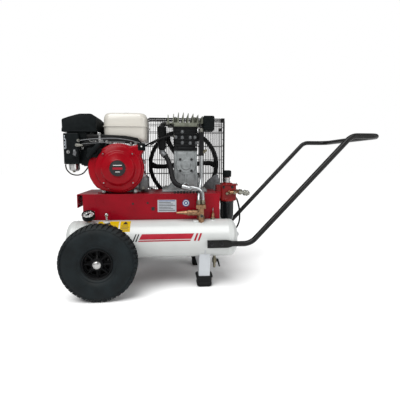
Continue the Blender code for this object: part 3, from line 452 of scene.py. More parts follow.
# ---------------------------------------------------------------- named pieces
class Shape:
    """One named piece in the making, from solids in its usual finish or in one of their own."""

    def __init__(self, name, usual=None):
        self.name = name
        self.usual = usual
        self.bm = bmesh.new()
        self.finishes = []

    def add(self, part, name=None, turn=None):
        name = name or self.usual
        if name not in self.finishes:
            self.finishes.append(name)
        for face in part.faces:
            face.material_index = self.finishes.index(name)
        if turn is not None:
            bmesh.ops.transform(part, matrix=turn, verts=part.verts)
        mesh = bpy.data.meshes.new("part")
        part.to_mesh(mesh)
        part.free()
        self.bm.from_mesh(mesh)
        bpy.data.meshes.remove(mesh)
        return self

    def bolt(self, at, axis, radius, height, name="bright_steel", washer=True):
        """Hexagon head with a chamfered crown, on a round washer."""
        axis = Vector(axis).normalized()
        foot = Vector(at)
        if washer:
            self.add(rod(foot, foot + axis * height * 0.25, radius * 1.5, 20), name)
            foot = foot + axis * height * 0.25
        head = [(0, 0), (radius, 0), (radius, height * 0.72), (radius * 0.84, height), (0, height)]
        self.add(lathe(head, foot, axis, 6), name)
        return self

    def place(self, body="chassis", stands_for=(), smooth_angle=SHARP_ANGLE):
        mesh = bpy.data.meshes.new(self.name)
        self.bm.to_mesh(mesh)
        self.bm.free()
        obj = bpy.data.objects.new(self.name, mesh)
        bpy.context.scene.collection.objects.link(obj)
        for name in self.finishes:
            mesh.materials.append(FINISHES[name][0])
        mesh.shade_smooth()
        mesh.set_sharp_from_angle(angle=math.radians(smooth_angle))
        if body:
            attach(obj, body)
        if stands_for:
            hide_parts(*stands_for)
        return obj


def dress(node, name, bevel=0.0):
    """A CAD node that keeps its shape: procedural finish, and rounded edges where asked."""
    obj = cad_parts[node]
    for material_slot in obj.material_slots:
        material_slot.material = FINISHES[name][0]
    if bevel:
        step = obj.modifiers.new("soft_edges", "BEVEL")
        step.width = bevel
        step.segments = 2
        step.limit_method = "ANGLE"
        step.angle_limit = math.radians(SOFT_EDGE_ANGLE)


# ---------------------------------------------------------------- tanks
def tank_point(x, side, angle_deg, radius):
    """Point on a tank's barrel; 0 degrees faces out sideways and 90 is the top."""
    a = math.radians(angle_deg)
    return Vector((x, side * (abs(TANK.y) + radius * math.cos(a)), TANK.z + radius * math.sin(a)))


def tank_patch(corners, side=-1, proud=SKIN, steps=8):
    """Thin sticker that follows the barrel; corners are (x, angle), anticlockwise from the lower left."""
    (x0, a0), (x1, _), (x2, a2), (x3, _) = corners
    rings = []
    for i in range(steps + 1):
        t = i / steps
        left, right, angle = x0 + (x3 - x0) * t, x1 + (x2 - x1) * t, a0 + (a2 - a0) * t
        rings.append([tank_point(left, side, angle, TANK_R - SKIN),
            tank_point(right, side, angle, TANK_R - SKIN), tank_point(right, side, angle, TANK_R + proud),
            tank_point(left, side, angle, TANK_R + proud)])
    return loft(rings)


def tank_profile():
    """Half outline of a tank: a deep dome, the weld bead where it joins, and the barrel."""
    dome, steps, bead = 0.032, 14, 0.0011
    turns = [math.radians(90 * i / steps) for i in range(steps + 1)]
    half = [(TANK_R * math.sin(a) ** 0.8, TANK_HALF - dome + dome * math.cos(a)) for a in turns]
    seam = TANK_HALF - dome - 0.012
    half += [(TANK_R, seam + 0.004), (TANK_R + bead * 0.8, seam + 0.002), (TANK_R + bead, seam),
        (TANK_R + bead * 0.8, seam - 0.002), (TANK_R, seam - 0.004)]
    return half


def build_tanks():
    half = tank_profile()
    chain = both_sides(half)
    for side, name in ((-1, "near"), (1, "far")):
        tank = Shape(f"tank_shell_{name}", "tank_enamel")
        tank.add(lathe(chain, (TANK.x, side * abs(TANK.y), TANK.z), ALONG, 72))
        for x in HANDLE_BOLTS:
            wall = abs(TANK.y) + TANK_R - 0.004
            tank.add(rod((x, side * wall, HANDLE_Z), (x, side * 0.2463, HANDLE_Z), 0.0095, 24, 0.001))
        for x, y in ((middle("safety_valve").x, -0.17), (middle("valve_manifold").x + 0.02, -0.185),
                (middle("gauge_case").x, -0.182), (PETCOCK_X, PETCOCK_Y)):
            if side < 0:
                tank.add(rod((x, y, TANK.z + 0.055), (x, y, TANK.z + TANK_R + 0.001), 0.015, 28, 0.003))
        tank.add(rod((middle("drain_cock").x, side * 0.155, TANK.z - TANK_R - 0.001),
            (middle("drain_cock").x, side * 0.155, TANK.z - TANK_R + 0.01), 0.014, 28, 0.002))
        tank.place(stands_for=(f"tank_{name}",))
    plugs = Shape("tank_plugs", "leg_enamel")
    end = TANK.x + TANK_HALF
    for side in (-1, 1):
        plugs.add(lathe([(0, 0), (0.014, 0), (0.014, 0.005), (0.01, 0.008), (0, 0.008)], (end - 0.0025,
            side * abs(TANK.y), TANK.z + 0.012), ALONG, 24))
        plugs.bolt((end + 0.003, side * abs(TANK.y), TANK.z + 0.012), ALONG, 0.008, 0.005, "zinc_plate",
            False)
    plugs.place()
    link = Shape("balance_pipe", "zinc_plate")
    y = abs(TANK.y) - TANK_R
    link.add(pipe([(BALANCE_X, -y - 0.004, TANK.z), (BALANCE_X, y + 0.004, TANK.z)], 0.0065, 16))
    for side in (-1, 1):
        link.add(rod((BALANCE_X, side * (y + 0.004), TANK.z), (BALANCE_X, side * (y - 0.012), TANK.z),
            0.011, 6), "pale_brass")
    link.place()


def build_tank_stickers():
    """Plain warning panels and a two-tone stripe in place of the printed wording."""
    x0, x1 = -0.3405, -0.094
    stripe = Shape("tank_stripe", "label_red")
    slant = 0.012
    stripe.add(tank_patch([(x0, 9), (x1 - 0.036, 9), (x1 - 0.036 + slant, 25), (x0 + slant, 25)]))
    stripe.add(tank_patch([(x0 - 0.004, 3), (x1 - 0.04, 3), (x1 - 0.037, 6.5), (x0 - 0.001, 6.5)]))
    for k in range(2):
        left = x1 - 0.026 + 0.015 * k
        stripe.add(tank_patch([(left, 3), (left + 0.008, 3), (left + 0.008 + slant, 25),
            (left + slant, 25)]))
    for k in range(2):
        left = x0 - 0.026 + 0.011 * k
        stripe.add(tank_patch([(left, 3), (left + 0.005, 3), (left + 0.005 + slant, 25),
            (left + slant, 25)]), "dark_print_and_painted_shade")
    stripe.place()
    notes = Shape("warning_labels", "label_yellow")
    for left, right in ((-0.508, -0.424), (-0.418, -0.377)):
        notes.add(tank_patch([(left, 33), (right, 33), (right, 79), (left, 79)], proud=0.0007))
        for row, angle in enumerate((38, 43, 48, 53)):
            inset = 0.005 + 0.004 * (row % 2)
            notes.add(tank_patch([(left + 0.005, angle), (right - inset, angle),
                (right - inset, angle + 1.6), (left + 0.005, angle + 1.6)], proud=0.001, steps=1),
                "dark_print_and_painted_shade")
        centre = (left + right) / 2
        notes.add(tank_patch([(centre - 0.011, 60), (centre + 0.011, 60), (centre + 0.0005, 74),
            (centre - 0.0005, 74)], proud=0.001), "dark_print_and_painted_shade")
    notes.place()


# ---------------------------------------------------------------- frame, legs and base
def build_frame_parts():
    dress("base_plate", "red_enamel", 0.0012)
    dress("leg_frame", "leg_enamel", 0.0008)
    dress("axle_frame", "black_enamel", 0.001)
    x = middle("leg_frame").x
    for side, name in ((-1, "near"), (1, "far")):
        box_low, box_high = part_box(f"foot_{name}")
        centre_x, centre_y, top = (box_low.x + box_high.x) / 2, (box_low.y + box_high.y) / 2, box_high.z
        half_x, half_y = (box_high.x - box_low.x) / 2, (box_high.y - box_low.y) / 2
        rings = []
        for z, grow, radius in ((0.0, -0.006, 0.01), (0.003, -0.002, 0.012), (0.01, 0.0, 0.012),
                (0.018, 0.0, 0.012), (0.02, -0.0018, 0.011), (0.023, -0.0018, 0.011),
                (0.025, -0.0005, 0.012), (0.04, 0.0005, 0.012), (0.043, 0.0035, 0.013),
                (0.049, 0.0035, 0.013), (0.051, 0.0015, 0.011), (0.051, -0.006, 0.008),
                (0.044, -0.0075, 0.006)):
            outline = rounded(centre_x - half_x - grow, centre_x + half_x + grow, centre_y - half_y - grow,
                centre_y + half_y + grow, radius)
            rings.append([(u, v, z * top / 0.051) for u, v in outline])
        Shape(f"boot_{name}", "hose_rubber").add(loft(rings)).place(stands_for=(f"foot_{name}",))
    saddles = Shape("cradle_welds", "leg_enamel")
    for side in (-1, 1):
        rows = [tank_point(x, side, a, TANK_R + 0.0008) for a in range(-150, -28, 8)]
        saddles.add(pipe(rows, 0.0022, 8))
        rows = [tank_point(AXLE.x, side, a, TANK_R + 0.0008) for a in range(-140, -28, 8)]
        saddles.add(pipe(rows, 0.0026, 8), "black_enamel")
    saddles.place()


def build_base_details():
    front, top = BASE_FRONT - SKIN, BASE_TOP
    plate = Shape("rating_plate", "label_grey")
    plate.add(block((-0.2675, front - 0.0004, 0.324), (-0.188, BASE_FRONT + 0.0005, 0.376), 0.0003, 1))
    for row in range(6):
        z = 0.33 + 0.0068 * row
        right = -0.193 - 0.009 * (row % 3)
        plate.add(block((-0.262, front - 0.0007, z), (right, front, z + 0.0022)), "dark_print_and_painted_shade")
    plate.add(block((-0.262, front - 0.0007, 0.3705), (-0.193, front, 0.3735)), "label_blue")
    plate.place()
    badge = Shape("service_sticker", "label_blue")
    at = (-0.1465, BASE_FRONT + 0.0005, 0.3618)
    badge.add(lathe([(0, 0.0012), (0.0155, 0.0012), (0.0155, 0)], at, -ACROSS, 40))
    badge.add(lathe([(0.0095, 0.0016), (0.0122, 0.0016), (0.0122, 0.001), (0.0095, 0.001),
        (0.0095, 0.0016)], at, -ACROSS, 40), "label_white")
    badge.add(lathe([(0, 0.0016), (0.004, 0.0016), (0.004, 0.001)], at, -ACROSS, 30), "label_white")
    badge.place()
    bolts = Shape("base_bolts")
    engine_low, engine_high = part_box("engine_crankcase")
    for x in (engine_low.x + 0.012, engine_high.x - 0.012):
        for y in (engine_low.y + 0.006, engine_high.y - 0.006):
            bolts.bolt((x, y, top + 0.0105), UP, 0.0055, 0.006, "zinc_plate")
    pump_low, pump_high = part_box("pump_crankcase")
    for x in (pump_low.x + 0.018, pump_high.x - 0.01):
        for y in (pump_low.y + 0.015, pump_high.y - 0.015):
            bolts.bolt((x, y, pump_low.z + 0.0125), UP, 0.0055, 0.006, "zinc_plate")
    bolts.place()
    rail = Shape("engine_rail", "red_enamel")
    for y in (engine_low.y + 0.004, engine_high.y - 0.02):
        rail.add(slab([(-0.524, top), (-0.338, top), (-0.338, top + 0.004), (-0.524, top + 0.004)],
            y - 0.02, y + 0.012, bevel=0.001))
    rail.place()
    gusset = Shape("gusset_plate", "galvanised")
    gusset.add(slab([(-0.062, 0.373), (0.046, 0.373), (0.046, 0.402), (0.026, 0.474), (0.012, 0.474),
        (-0.02, 0.452), (-0.046, 0.424)], 0.098, 0.101, bevel=0.0006))
    gusset.place()
    # Dark discs and a dark block set into the skirt's holes: painted shade for the openings.
    skirt_shade = Shape("skirt_hole_shade", "dark_print_and_painted_shade")
    for x, z, radius in ((-0.3713, 0.361, 0.0046), (-0.3094, 0.3635, 0.0046)):
        skirt_shade.add(lathe([(0, 0.0004), (radius, 0.0004), (radius, -0.002)], (x, BASE_FRONT, z), -ACROSS,
            20))
    skirt_shade.add(block((-0.2935, BASE_FRONT - 0.0005, 0.331), (-0.2805, BASE_FRONT + 0.002, 0.3455),
        0.0003, 1))
    skirt_shade.place()


# ---------------------------------------------------------------- wheels and handle
def sector(profile, start_deg, end_deg, centre, side, skew=0.0):
    """Block swept about a wheel's axle between two angles; profile is (radius, height from the middle)."""
    rings = []
    for turn in (start_deg, end_deg):
        ring = []
        for radius, height in profile:
            a = math.radians(turn + skew * height)
            ring.append(Vector((centre.x + radius * math.cos(a), centre.y + side * height,
                centre.z + radius * math.sin(a))))
        rings.append(ring)
    return loft(rings)


def build_wheel(name, side):
    centre = middle(f"tyre_{name}")
    body = f"wheel_{name}"
    wall = [(0.0592, 0.03), (0.0625, 0.0345), (0.067, 0.0375), (0.071, 0.0375), (0.073, 0.0395),
        (0.086, 0.044), (0.1, 0.045), (0.114, 0.0442), (0.126, 0.0415), (0.1335, 0.0375), (0.1345, 0.0385),
        (0.138, 0.0365), (0.142, 0.031), (0.145, 0.022), (0.1462, 0.01)]
    chain = both_sides(wall) + [wall[0]]
    tyre = Shape(f"tyre_rubber_{name}", "tyre_rubber")
    tyre.add(lathe(chain, centre, (0, side, 0), 96))
    count = 46
    pitch = 360 / count
    shoulder = [(0.1375, 0.0388), (0.144, 0.0345), (WHEEL_R - 0.0006, 0.0235), (WHEEL_R, 0.0135),
        (0.1455, 0.0135), (0.1445, 0.0225), (0.137, 0.035)]
    crown = [(WHEEL_R, -0.0095), (WHEEL_R, 0.0095), (0.1455, 0.01), (0.1455, -0.01)]
    for k in range(count):
        turn = k * pitch
        tyre.add(sector(shoulder, turn, turn + pitch * 0.62, centre, side, 90))
        mirrored = [(r, -h) for r, h in shoulder]
        tyre.add(sector(mirrored, turn + pitch / 2, turn + pitch * 1.12, centre, side, -90))
        tyre.add(sector(crown, turn + pitch * 0.2, turn + pitch * 0.78, centre, side, 160))
    tyre.place(body, (f"tyre_{name}",), 30)
    rim = Shape(f"rim_disc_{name}", "rim_enamel")
    flange = [(0.0535, 0.006), (0.0535, 0.029), (0.0545, 0.0325), (0.0575, 0.034), (0.0597, 0.032),
        (0.0597, 0.029)]
    barrel = both_sides(flange) + [flange[0]]
    rim.add(lathe(barrel, centre, (0, side, 0), 72))
    windows = [ring_window(centre, 0.03, 0.046, 45 * k + 9, 45 * k + 36) for k in range(8)]
    for direction in (1, -1):
        y = centre.y + direction * side * 0.01
        openings = windows if direction > 0 else []
        rim.add(pierced(circle((centre.x, centre.z), 0.0545, 64), openings, y - 0.0015, y + 0.0015))
        for k in range(8):
            rim.add(rib(centre, 45 * k, direction * side))
    hub = both_sides([(0.0105, 0.0355), (0.0215, 0.0355), (0.0225, 0.034), (0.0235, 0.004)])
    rim.add(lathe([*hub, hub[0]], centre, (0, side, 0), 40))
    valve = centre + Vector((0.045 * math.cos(0.4), side * 0.012, 0.045 * math.sin(0.4)))
    rim.add(rod(valve, valve + Vector((0, side * 0.02, 0)), 0.0035, 14, 0.0008), "hose_rubber")
    rim.place(body, (f"rim_{name}",))
    build_axle_bolt(name, side)


def ring_window(centre, inner, outer, start, end):
    middle_point = (centre.x, centre.z)
    return arc(middle_point, outer, start, end, 5) + arc(middle_point, inner, end - 5, start + 5, 3)


def rib(centre, turn, direction):
    """Radial stiffener between two of the rim's windows."""
    a = math.radians(turn)
    out, across = Vector((math.cos(a), 0, math.sin(a))), Vector((-math.sin(a), 0, math.cos(a)))
    rings = []
    for radius, half, height in ((0.021, 0.0028, 0.03), (0.036, 0.0022, 0.02), (0.054, 0.0022, 0.022)):
        foot, tip = Vector((0, direction * 0.009, 0)), Vector((0, direction * height, 0))
        base = centre + out * radius
        rings.append([base + foot - across * half, base + foot + across * half,
            base + tip + across * half * 0.6, base + tip - across * half * 0.6])
    return loft(rings)


def build_axle_bolt(name, side):
    """Shoulder bolt with a domed bright cap, as the hub's middle shows it."""
    node = f"axle_{name}"
    inner = low(node).y if side > 0 else high(node).y
    outer = high(node).y if side > 0 else low(node).y
    start = Vector((AXLE.x, inner, AXLE.z))
    length = abs(outer - inner)
    head = length - 0.0085
    chain = [(0, 0), (0.0095, 0), (0.01, 0.0005), (0.01, 0.018), (0.014, 0.018), (0.014, 0.0335),
        (0.0098, 0.0335), (0.0098, head - 0.0005), (0.015, head - 0.0003), (0.0155, head + 0.0012),
        (0.015, head + 0.002), (0.0125, head + 0.0025), (0.0125, length - 0.0025),
        (0.0105, length - 0.0006), (0.006, length), (0, length)]
    Shape(f"axle_bolt_{name}", "bright_steel").add(lathe(chain, start, (0, side, 0),
        40)).place(stands_for=(node,))


def bend(a, b, c, radius, steps):
    """Points of a rounded bend at b between a and c."""
    a, b, c = Vector(a), Vector(b), Vector(c)
    into, out = (b - a).normalized(), (c - b).normalized()
    half = into.angle(out) / 2
    centre = b + (out - into).normalized() * radius / math.cos(half)
    start = b - into * radius * math.tan(half)
    axis = into.cross(out).normalized()
    return [centre + Matrix.Rotation(2 * half * i / steps, 3,
        axis) @ (start - centre) for i in range(steps + 1)]


def build_handle():
    """Bent tube whose ends are pressed flat and bolted to the tank bosses."""
    grip_z, bar_x, tube = high("handle").z - 0.011, high("handle").x - 0.011, 0.011
    end = Vector((low("handle").x, -HANDLE_Y, HANDLE_Z))
    start, lower = Vector((0.04, -HANDLE_Y, HANDLE_Z)), Vector((0.113, -HANDLE_Y, HANDLE_Z))
    upper, turn, centre = (Vector((0.5255, -HANDLE_Y, grip_z)), Vector((bar_x, -HANDLE_Y, grip_z)),
        Vector((bar_x, 0, grip_z)))
    half = [start] + bend(start, lower, upper, 0.065, 10) + bend(lower, upper, turn, 0.055, 10)
    half += bend(upper, turn, centre, 0.048, 14)
    route = half + [Vector((p.x, -p.y, p.z)) for p in reversed(half)]
    handle = Shape("push_handle", "black_enamel").add(pipe(route, tube, 24))
    flat_half, flat_tall = 0.0032, 0.0165
    for side in (-1, 1):
        rings = []
        for x, squeeze in ((end.x, 1.0), (0.012, 1.0), (0.018, 0.93), (0.024, 0.74), (0.031, 0.42),
                (0.037, 0.12), (0.04, 0.0)):
            wide, tall = tube + (flat_half - tube) * squeeze, tube + (flat_tall - tube) * squeeze
            power = 1 - 0.55 * squeeze
            ring = []
            for k in range(32):
                a = 2 * math.pi * k / 32
                u, v = math.cos(a), math.sin(a)
                ring.append((x, side * HANDLE_Y + wide * math.copysign(abs(u) ** power, u),
                    HANDLE_Z + tall * math.copysign(abs(v) ** power, v)))
            rings.append(ring)
        handle.add(loft(rings))
        for x in HANDLE_BOLTS:
            handle.bolt((x, side * (HANDLE_Y + flat_half), HANDLE_Z), (0, side, 0), 0.0065, 0.006,
                "dark_bolt")
    handle.place(stands_for=("handle",))


# ---------------------------------------------------------------- engine
def cover_outline(inset, steps=40):
    """Fan shroud from the front: round about the crank, a lobe to the left, an ear at upper right."""
    x, z, radius = ENGINE.x, ENGINE.z, 0.105 - inset
    right = arc((x, z), radius, -100, 30, steps)
    ear = [(x + 0.109 - inset, z + 0.08), (x + 0.109 - inset, z + 0.092 - inset),
        (x + 0.105 - inset, z + 0.099 - inset), (x + 0.098, z + 0.101 - inset),
        (x + 0.085, z + 0.101 - inset)]
    top = arc((x, z), radius, 62, 132, 16)
    lobe = [(x - 0.095 + inset, z + 0.048 - inset), (x - 0.112 + inset, z + 0.0465 - inset),
        (x - 0.121 + inset, z + 0.036 - inset), (x - 0.1265 + inset, z + 0.018),
        (x - 0.1275 + inset, z - 0.005), (x - 0.1255 + inset, z - 0.022), (x - 0.1205 + inset, z - 0.04),
        (x - 0.108 + inset, z - 0.064), (x - 0.093 + 0.9 * inset, z - 0.082 + 0.3 * inset),
        (x - 0.07 + 0.7 * inset, z - 0.0935 + 0.7 * inset)]
    return right + ear + top + lobe


def build_engine_covers():
    back = high("fan_cover").y
    x, z = ENGINE.x, ENGINE.z
    shroud = Shape("fan_shroud", "engine_enamel")
    rings = []
    for y, inset in ((back, 0.0), (COVER_FACE + 0.011, 0.0005), (COVER_FACE + 0.0065, 0.0012),
            (COVER_FACE + 0.003, 0.0032), (COVER_FACE + 0.0008, 0.0068), (COVER_FACE, 0.0105)):
        rings.append([(u, y, v) for u, v in cover_outline(inset)])
    shroud.add(loft(rings))
    for u, v in ((-0.07, -0.099), (0.066, -0.099), (0.103, 0.026), (0.103, -0.03), (-0.036, 0.108),
            (0.05, 0.106)):
        shroud.add(rod((x + u, back, z + v), (x + u, COVER_FACE + 0.03, z + v), 0.0085, 20, 0.001))
        shroud.bolt((x + u, COVER_FACE + 0.03, z + v), -ACROSS, 0.005, 0.007)
    shroud.place(stands_for=("fan_cover",))
    dish = [(0, 0.03), (0.0335, 0.03), (0.035, 0.0295), (0.037, 0.0268), (0.038, 0.0262), (0.062, 0.0252),
        (0.0645, 0.0245), (0.067, 0.022), (0.0705, 0.016), (0.0725, 0.014), (0.076, 0.013), (0.09, 0.0105),
        (0.094, 0.0085), (0.096, 0.005), (0.0965, 0.0002), (0.093, 0.0002)]
    recoil = Shape("recoil_dish", "engine_enamel").add(lathe(dish, (x, COVER_FACE, z), -ACROSS, 96))
    for u in (-0.06, 0.06):
        for v in (-0.06, 0.06):
            recoil.add(rod((x + u, COVER_FACE, z + v), (x + u, COVER_FACE - 0.015, z + v), 0.0095, 24,
                0.002))
            recoil.bolt((x + u, COVER_FACE - 0.015, z + v), -ACROSS, 0.0036, 0.004, "bright_steel", False)
    recoil.place(stands_for=("recoil_cover",))
    badge = Shape("round_badge", "dark_print_and_painted_shade")
    disc = [(0, 0.0312), (0.0285, 0.0312), (0.03, 0.0306), (0.0322, 0.0306), (0.0326, 0.0302),
        (0.0326, 0.0296)]
    badge.add(lathe(disc, (x, COVER_FACE, z), -ACROSS, 64))
    front = COVER_FACE - 0.0312
    for half, level, finish_name in ((0.018, 0.0125, "label_white"), (0.02, -0.0005, "label_red"),
            (0.009, -0.0145, "label_white")):
        tall = 0.0045 if finish_name == "label_red" else 0.0014
        badge.add(block((x - half, front - 0.0004, z + level - tall),
            (x + half, front + 0.0002, z + level + tall)), finish_name)
    ring = [(0.0318, 0.0306), (0.0318, 0.0311), (0.033, 0.0311), (0.033, 0.03), (0.0318, 0.0306)]
    badge.add(lathe(ring, (x, COVER_FACE, z), -ACROSS, 64), "black_enamel")
    badge.place()


def build_starter():
    centre = middle("starter_grip")
    lean = Matrix.Translation(centre) @ Matrix.Rotation(math.radians(42), 4, "Y")
    rings = []
    for z, wide, deep in ((-0.036, 0.004, 0.004), (-0.035, 0.0075, 0.007), (-0.031, 0.01, 0.009),
            (-0.02, 0.0095, 0.0085), (0.0, 0.0105, 0.0095), (0.02, 0.0095, 0.0085), (0.031, 0.01, 0.009),
            (0.035, 0.0075, 0.007), (0.036, 0.004, 0.004)):
        rings.append([(wide * math.cos(a), deep * math.sin(a),
            z) for a in (math.pi * k / 12 for k in range(24))])
    grip = Shape("recoil_grip", "moulded_black").add(loft(rings), turn=lean)
    for k in range(5):
        z = -0.014 + 0.007 * k
        ridge = lathe([(0.0098, z - 0.001), (0.0108, z), (0.0098, z + 0.001), (0.0098, z - 0.001)],
            (0, 0, 0), UP, 24)
        grip.add(ridge, turn=lean @ Matrix.Diagonal((1.0, 0.92, 1.0, 1.0)))
    grip.place("starter_grip", ("starter_grip",))
    eye = Shape("rope_eyelet", "moulded_black")
    eye.add(lathe([(0.0045, 0), (0.0085, 0), (0.0085, 0.006), (0.006, 0.009), (0.0045, 0.006),
        (0.0045, 0)], centre + Vector((0.012, 0.0135, -0.01)), (-0.3, -0.9, 0.3), 24))
    eye.add(slab(rounded(centre.x - 0.028, centre.x + 0.03, centre.z - 0.028, centre.z + 0.012, 0.008),
        centre.y + 0.0125, centre.y + 0.032, bevel=0.002))
    eye.place()
    leaves, held = centre + Vector((0.012, 0.018, -0.014)), centre + Vector((0.001, 0.002, -0.001))
    steps = [leaves.lerp(held, k / 20) for k in range(21)]
    rope = Shape("starter_rope", "rope_fibre").add(pipe(steps, 0.0018, 10)).place(None)
    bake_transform(rope)


def build_switch_and_linkage():
    switch = middle("engine_switch")
    face = high("engine_switch").y
    housing = Shape("switch_housing", "moulded_black")
    housing.add(slab(rounded(switch.x - 0.016, switch.x + 0.015, switch.z - 0.016, switch.z + 0.014,
        0.005), face, face + 0.02, bevel=0.0015))
    housing.place()
    knob = Shape("switch_knob", "moulded_black")
    knob.add(lathe([(0, 0.0135), (0.009, 0.0135), (0.01, 0.0125), (0.012, 0.003), (0.012, 0), (0, 0)],
        (switch.x, face - 0.0003, switch.z), -ACROSS, 32))
    knob.add(block((switch.x - 0.0022, low("engine_switch").y, switch.z - 0.01),
        (switch.x + 0.0022, face - 0.012, switch.z + 0.01), 0.0008))
    knob.add(lathe([(0, 0.0192), (0.0028, 0.0192), (0.0032, 0.0185), (0.0032, 0.012)],
        (switch.x + 0.0005, face - 0.0003 + 0.0015, switch.z), -ACROSS, 20), "label_white")
    knob.place("engine_switch", ("engine_switch",))
    y = COVER_FACE + 0.012
    links = Shape("governor_linkage", "black_enamel")
    bracket = [(-0.586, 0.612), (-0.56, 0.624), (-0.52, 0.632), (-0.47, 0.636), (-0.42, 0.632),
        (-0.37, 0.622), (-0.335, 0.613), (-0.335, 0.606), (-0.37, 0.612), (-0.42, 0.617), (-0.47, 0.618),
        (-0.52, 0.6135), (-0.56, 0.604), (-0.586, 0.598)]
    links.add(slab(bracket, y + 0.012, y + 0.016, bevel=0.0008))
    links.add(cord([(-0.606, y, 0.6215), (-0.56, y, 0.629), (-0.505, y, 0.6335), (-0.44, y, 0.6345),
        (-0.38, y, 0.627), (-0.34, y, 0.6165)], 0.0016, 8), "galvanised")
    links.add(cord([(-0.6, y + 0.004, 0.606), (-0.56, y + 0.004, 0.613), (-0.505, y + 0.004, 0.6165),
        (-0.44, y + 0.004, 0.6205), (-0.4, y + 0.004, 0.6195)], 0.0011, 8), "galvanised")
    coil = []
    for k in range(80):
        t = k / 79
        turn = t * 2 * math.pi * 9
        coil.append((-0.548 + 0.034 * t, y + 0.006 + 0.003 * math.cos(turn),
            0.6225 + 0.003 * math.sin(turn)))
    links.add(pipe(coil, 0.0006, 6), "bright_steel")
    links.bolt((-0.498, y + 0.012, 0.6225), -ACROSS, 0.005, 0.006)
    links.bolt((-0.477, y + 0.012, 0.6205), -ACROSS, 0.0045, 0.006)
    links.bolt((-0.357, y + 0.012, 0.6165), -ACROSS, 0.0045, 0.006)
    links.bolt((-0.59, y - 0.004, 0.6245), -ACROSS, 0.0045, 0.008, "zinc_plate")
    links.place()
    lever = Shape("throttle_arm", "bright_steel")
    lever_y = low("throttle_lever").y
    lever.add(slab([(-0.5115, 0.6235), (-0.51, 0.618), (-0.506, 0.6165), (-0.502, 0.618),
        (-0.5005, 0.6235), (-0.5025, 0.645), (-0.5015, 0.6575), (-0.5105, 0.6575), (-0.5095, 0.645)],
        lever_y, lever_y + 0.003, bevel=0.0006))
    lever.add(rod((-0.506, lever_y + 0.001, 0.6235), (-0.506, lever_y - 0.006, 0.6235), 0.0046, 20, 0.001))
    lever.add(block((-0.5125, lever_y - 0.011, 0.65), (-0.4995, lever_y + 0.001, 0.6585), 0.0015))
    lever.place("throttle_lever", ("throttle_lever",))
    choke = Shape("choke_arm", "zinc_plate")
    choke_low, choke_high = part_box("choke_lever")
    mid_z = (choke_low.z + choke_high.z) / 2
    choke.add(slab(arc((-0.598, mid_z), 0.006, 90, 270, 10) + [(-0.582, mid_z - 0.004),
        (-0.573, mid_z - 0.0036), (-0.573, mid_z + 0.0036), (-0.582, mid_z + 0.004)], choke_low.y,
        choke_high.y, bevel=0.0005))
    choke.add(rod((-0.598, choke_high.y, mid_z), (-0.598, choke_low.y - 0.003, mid_z), 0.0038, 18, 0.0008))
    choke.place("choke_lever", ("choke_lever",))


def build_fuel_tank():
    a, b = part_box("fuel_tank")
    seam, lip = 0.69, 0.0042
    shell = Shape("fuel_tank_shell", "cream_enamel")

    def ring(z, inset, radius, arch=0.0):
        outline = rounded(a.x + inset, b.x - inset, a.y + inset, b.y - inset, radius, 8)
        span = b.x - a.x
        return [(u, v, z + arch * (1 - min(1.0, max(0.0, (u - a.x) / span)) ** 1.6)) for u, v in outline]

    lower = [ring(a.z + 0.0005, 0.02, 0.016, 0.017), ring(a.z + 0.0022, 0.01, 0.022, 0.017),
        ring(a.z + 0.0075, 0.0035, 0.028, 0.016), ring(a.z + 0.018, 0.0012, 0.03, 0.01),
        ring(a.z + 0.035, 0.0004, 0.031, 0.002), ring(seam - 0.002, 0.0, 0.031)]
    flange = [ring(seam - 0.0018, -lip, 0.034), ring(seam + 0.0004, -lip - 0.0004, 0.034),
        ring(seam + 0.002, -lip, 0.034)]
    upper = [ring(seam + 0.0022, 0.0, 0.031), ring(b.z - 0.03, 0.0006, 0.031),
        ring(b.z - 0.017, 0.0025, 0.03), ring(b.z - 0.008, 0.0065, 0.028),
        ring(b.z - 0.003, 0.0125, 0.026), ring(b.z - 0.0008, 0.02, 0.022), ring(b.z, 0.03, 0.018)]
    shell.add(loft(lower + flange + upper))
    cap = middle("fuel_cap")
    shell.add(lathe([(0.017, 0.0), (0.034, 0.0), (0.032, 0.0012), (0.019, 0.0018), (0.017, 0.0)],
        (cap.x, cap.y, b.z - 0.0006), UP, 48))
    shell.place(stands_for=("fuel_tank",), smooth_angle=55)
    lid = Shape("fuel_lid", "moulded_black")
    height = high("fuel_cap").z - b.z
    lid.add(lathe([(0, height), (0.018, height), (0.0245, height - 0.0006), (0.0262, height - 0.002),
        (0.0264, 0.0005), (0.0155, 0.0005), (0.0155, -0.01), (0, -0.01)], (cap.x, cap.y, b.z), UP, 60))
    knurl(lid, Vector((cap.x, cap.y, b.z + 0.0006)), 0.026, 20, height - 0.0022, 0.0016, 0.0004)
    lid.place("fuel_cap", ("fuel_cap",))


